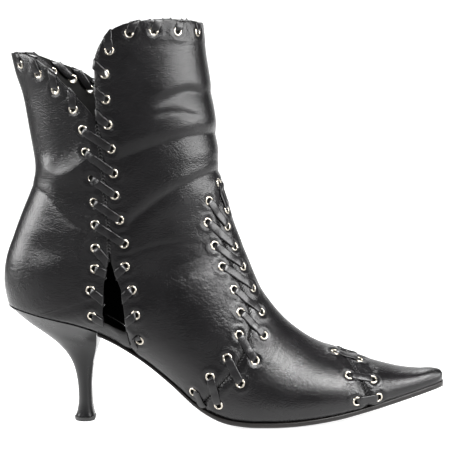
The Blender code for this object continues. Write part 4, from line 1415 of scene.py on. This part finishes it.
passes = whips([SLIT_REACH] + SLIT[1:4], BACK_ROW[9:], SLIT_BACK_LEANS, -1)
build_lace("back_slit_thong", "slit_lace_back", passes)
passes = whips(SLIT[4:] + SLIT[:1], FRONT_ROW[13:16], SLIT_FRONT_LEANS, -1)
passes.append((*side_seat(FRONT_ROW[16], -1), None))
end = tuck_keys(SLIT_END, -1, passes[-1][0])
build_lace("front_slit_thong", "slit_lace_front", passes, end=end)

passes = []
for side in (1, -1):
    run = seam_passes(VAMP_BACK, VAMP_FRONT, near_seat, side)
    run.append((*near_seat(VAMP_BACK[-1], side), None))
    passes += run[::-1] if side > 0 else run
start = [(c, -a, w) for c, a, w in tuck_keys(VAMP_END, 1, passes[0][0])[::-1]]
end = tuck_keys(VAMP_END, -1, passes[-1][0])
build_lace("vamp_thong", "vamp_lace", passes, start, end, outside=True)

passes = seam_passes(TOE_BACK[::-1], TOE_FRONT[::-1], near_seat, 1)
passes += seam_passes(TOE_BACK, TOE_FRONT, near_seat, -1)
build_lace("toe_thong", "toe_lace", passes)

# Studio
# A paper sweep that shows white under and behind the boot. Its glow and colour are a painted pool of light:
# brightest right behind it, painted dull and darker to the sides and in front.
# Five soft boxes stand to the left, front left, right, front right and behind, and none at the camera.
bpy.context.scene.view_settings.view_transform = "Standard"
SWEEP_WIDTH = 6.0
SWEEP_FRONT = -1.5
SWEEP_BACK = 1.2
SWEEP_RADIUS = 0.8
SWEEP_HEIGHT = 3.0
SWEEP_BENDS = 24
profile = [(SWEEP_FRONT, 0.0), (SWEEP_BACK, 0.0)]
for k in range(1, SWEEP_BENDS + 1):
    angle = math.pi / 2 * k / SWEEP_BENDS
    profile.append((SWEEP_BACK + SWEEP_RADIUS * math.sin(angle), SWEEP_RADIUS * (1 - math.cos(angle))))
profile.append((SWEEP_BACK + SWEEP_RADIUS, SWEEP_HEIGHT))
bpy.ops.object.select_all(action="DESELECT")
bpy.ops.mesh.primitive_grid_add(x_subdivisions=1, y_subdivisions=len(profile) - 1, size=1)
sweep = bpy.context.object
sweep.name = "studio_sweep"
for point in sweep.data.vertices:
    depth, height = profile[point.index // 2]
    point.co = ((point.index % 2 - 0.5) * SWEEP_WIDTH, depth, height)
smooth_shade(sweep, 60)


def reckon(material, operation, *terms):
    """A math node fed with sockets and plain numbers."""
    made = node(material, "ShaderNodeMath")
    made.operation = operation
    for socket, term in zip(made.inputs, terms):
        if isinstance(term, float):
            socket.default_value = term
        else:
            material.node_tree.links.new(term, socket)
    return made.outputs["Value"]


# The paper glows by itself though it is no lamp (painted light), and its colour is painted darker where
# that glow is dull.
paper = new_material("studio_paper_painted_glow", Roughness=0.8, Emission_Color=(1, 1, 1, 1))
aside = laid_on(paper, "ShaderNodeSeparateXYZ", "X")
depth = laid_on(paper, "ShaderNodeSeparateXYZ", "Y")
behind = ranged(paper, depth, From_Min=-0.15, From_Max=-0.05)
spread = reckon(paper, "MULTIPLY_ADD", depth, -0.25, reckon(paper, "ABSOLUTE", aside))
middle = ranged(paper, spread, From_Min=0.5, From_Max=0.35)
# Painted pool of light: the glow and paleness are strongest behind the boot and in the middle, and fade to
# dull and darker grey to the sides and in front.
painted_light = reckon(paper, "MULTIPLY", behind, middle)
drive(paper, ranged(paper, painted_light, To_Min=0.25, To_Max=0.5), "Base Color")
drive(paper, ranged(paper, painted_light, To_Min=0.04, To_Max=0.85), "Emission Strength")
sweep.data.materials.append(paper)
world = bpy.data.worlds.new("studio_world")
world.use_nodes = True
world.node_tree.nodes["Background"].inputs["Color"].default_value = (1, 1, 1, 1)
world.node_tree.nodes["Background"].inputs["Strength"].default_value = 0.21
bpy.context.scene.world = world

BOX_AIM = Vector((0, 0, 0.11))
# Columns: name, place, width, height, watts
SOFT_BOXES = [
    ("left_box", (-0.97, 0.03, 0.40), 0.42, 0.5, 10),
    ("front_box", (-0.74, -0.52, 0.52), 0.45, 0.26, 9),
    ("right_box", (0.95, -0.25, 0.30), 0.88, 0.4, 14),
    ("key_box", (0.54, -0.50, 0.78), 0.45, 0.45, 21),
    ("back_box", (0.0, 0.64, 0.88), 0.6, 0.3, 9),
]
for name, place, width, height, watts in SOFT_BOXES:
    bpy.ops.object.light_add(type="AREA", location=place)
    box = bpy.context.object
    box.name = name
    box.data.shape = "RECTANGLE"
    box.data.size = width
    box.data.size_y = height
    box.data.energy = watts
    box.rotation_mode = "QUATERNION"
    box.rotation_quaternion = (BOX_AIM - Vector(place)).to_track_quat("-Z", "Y")
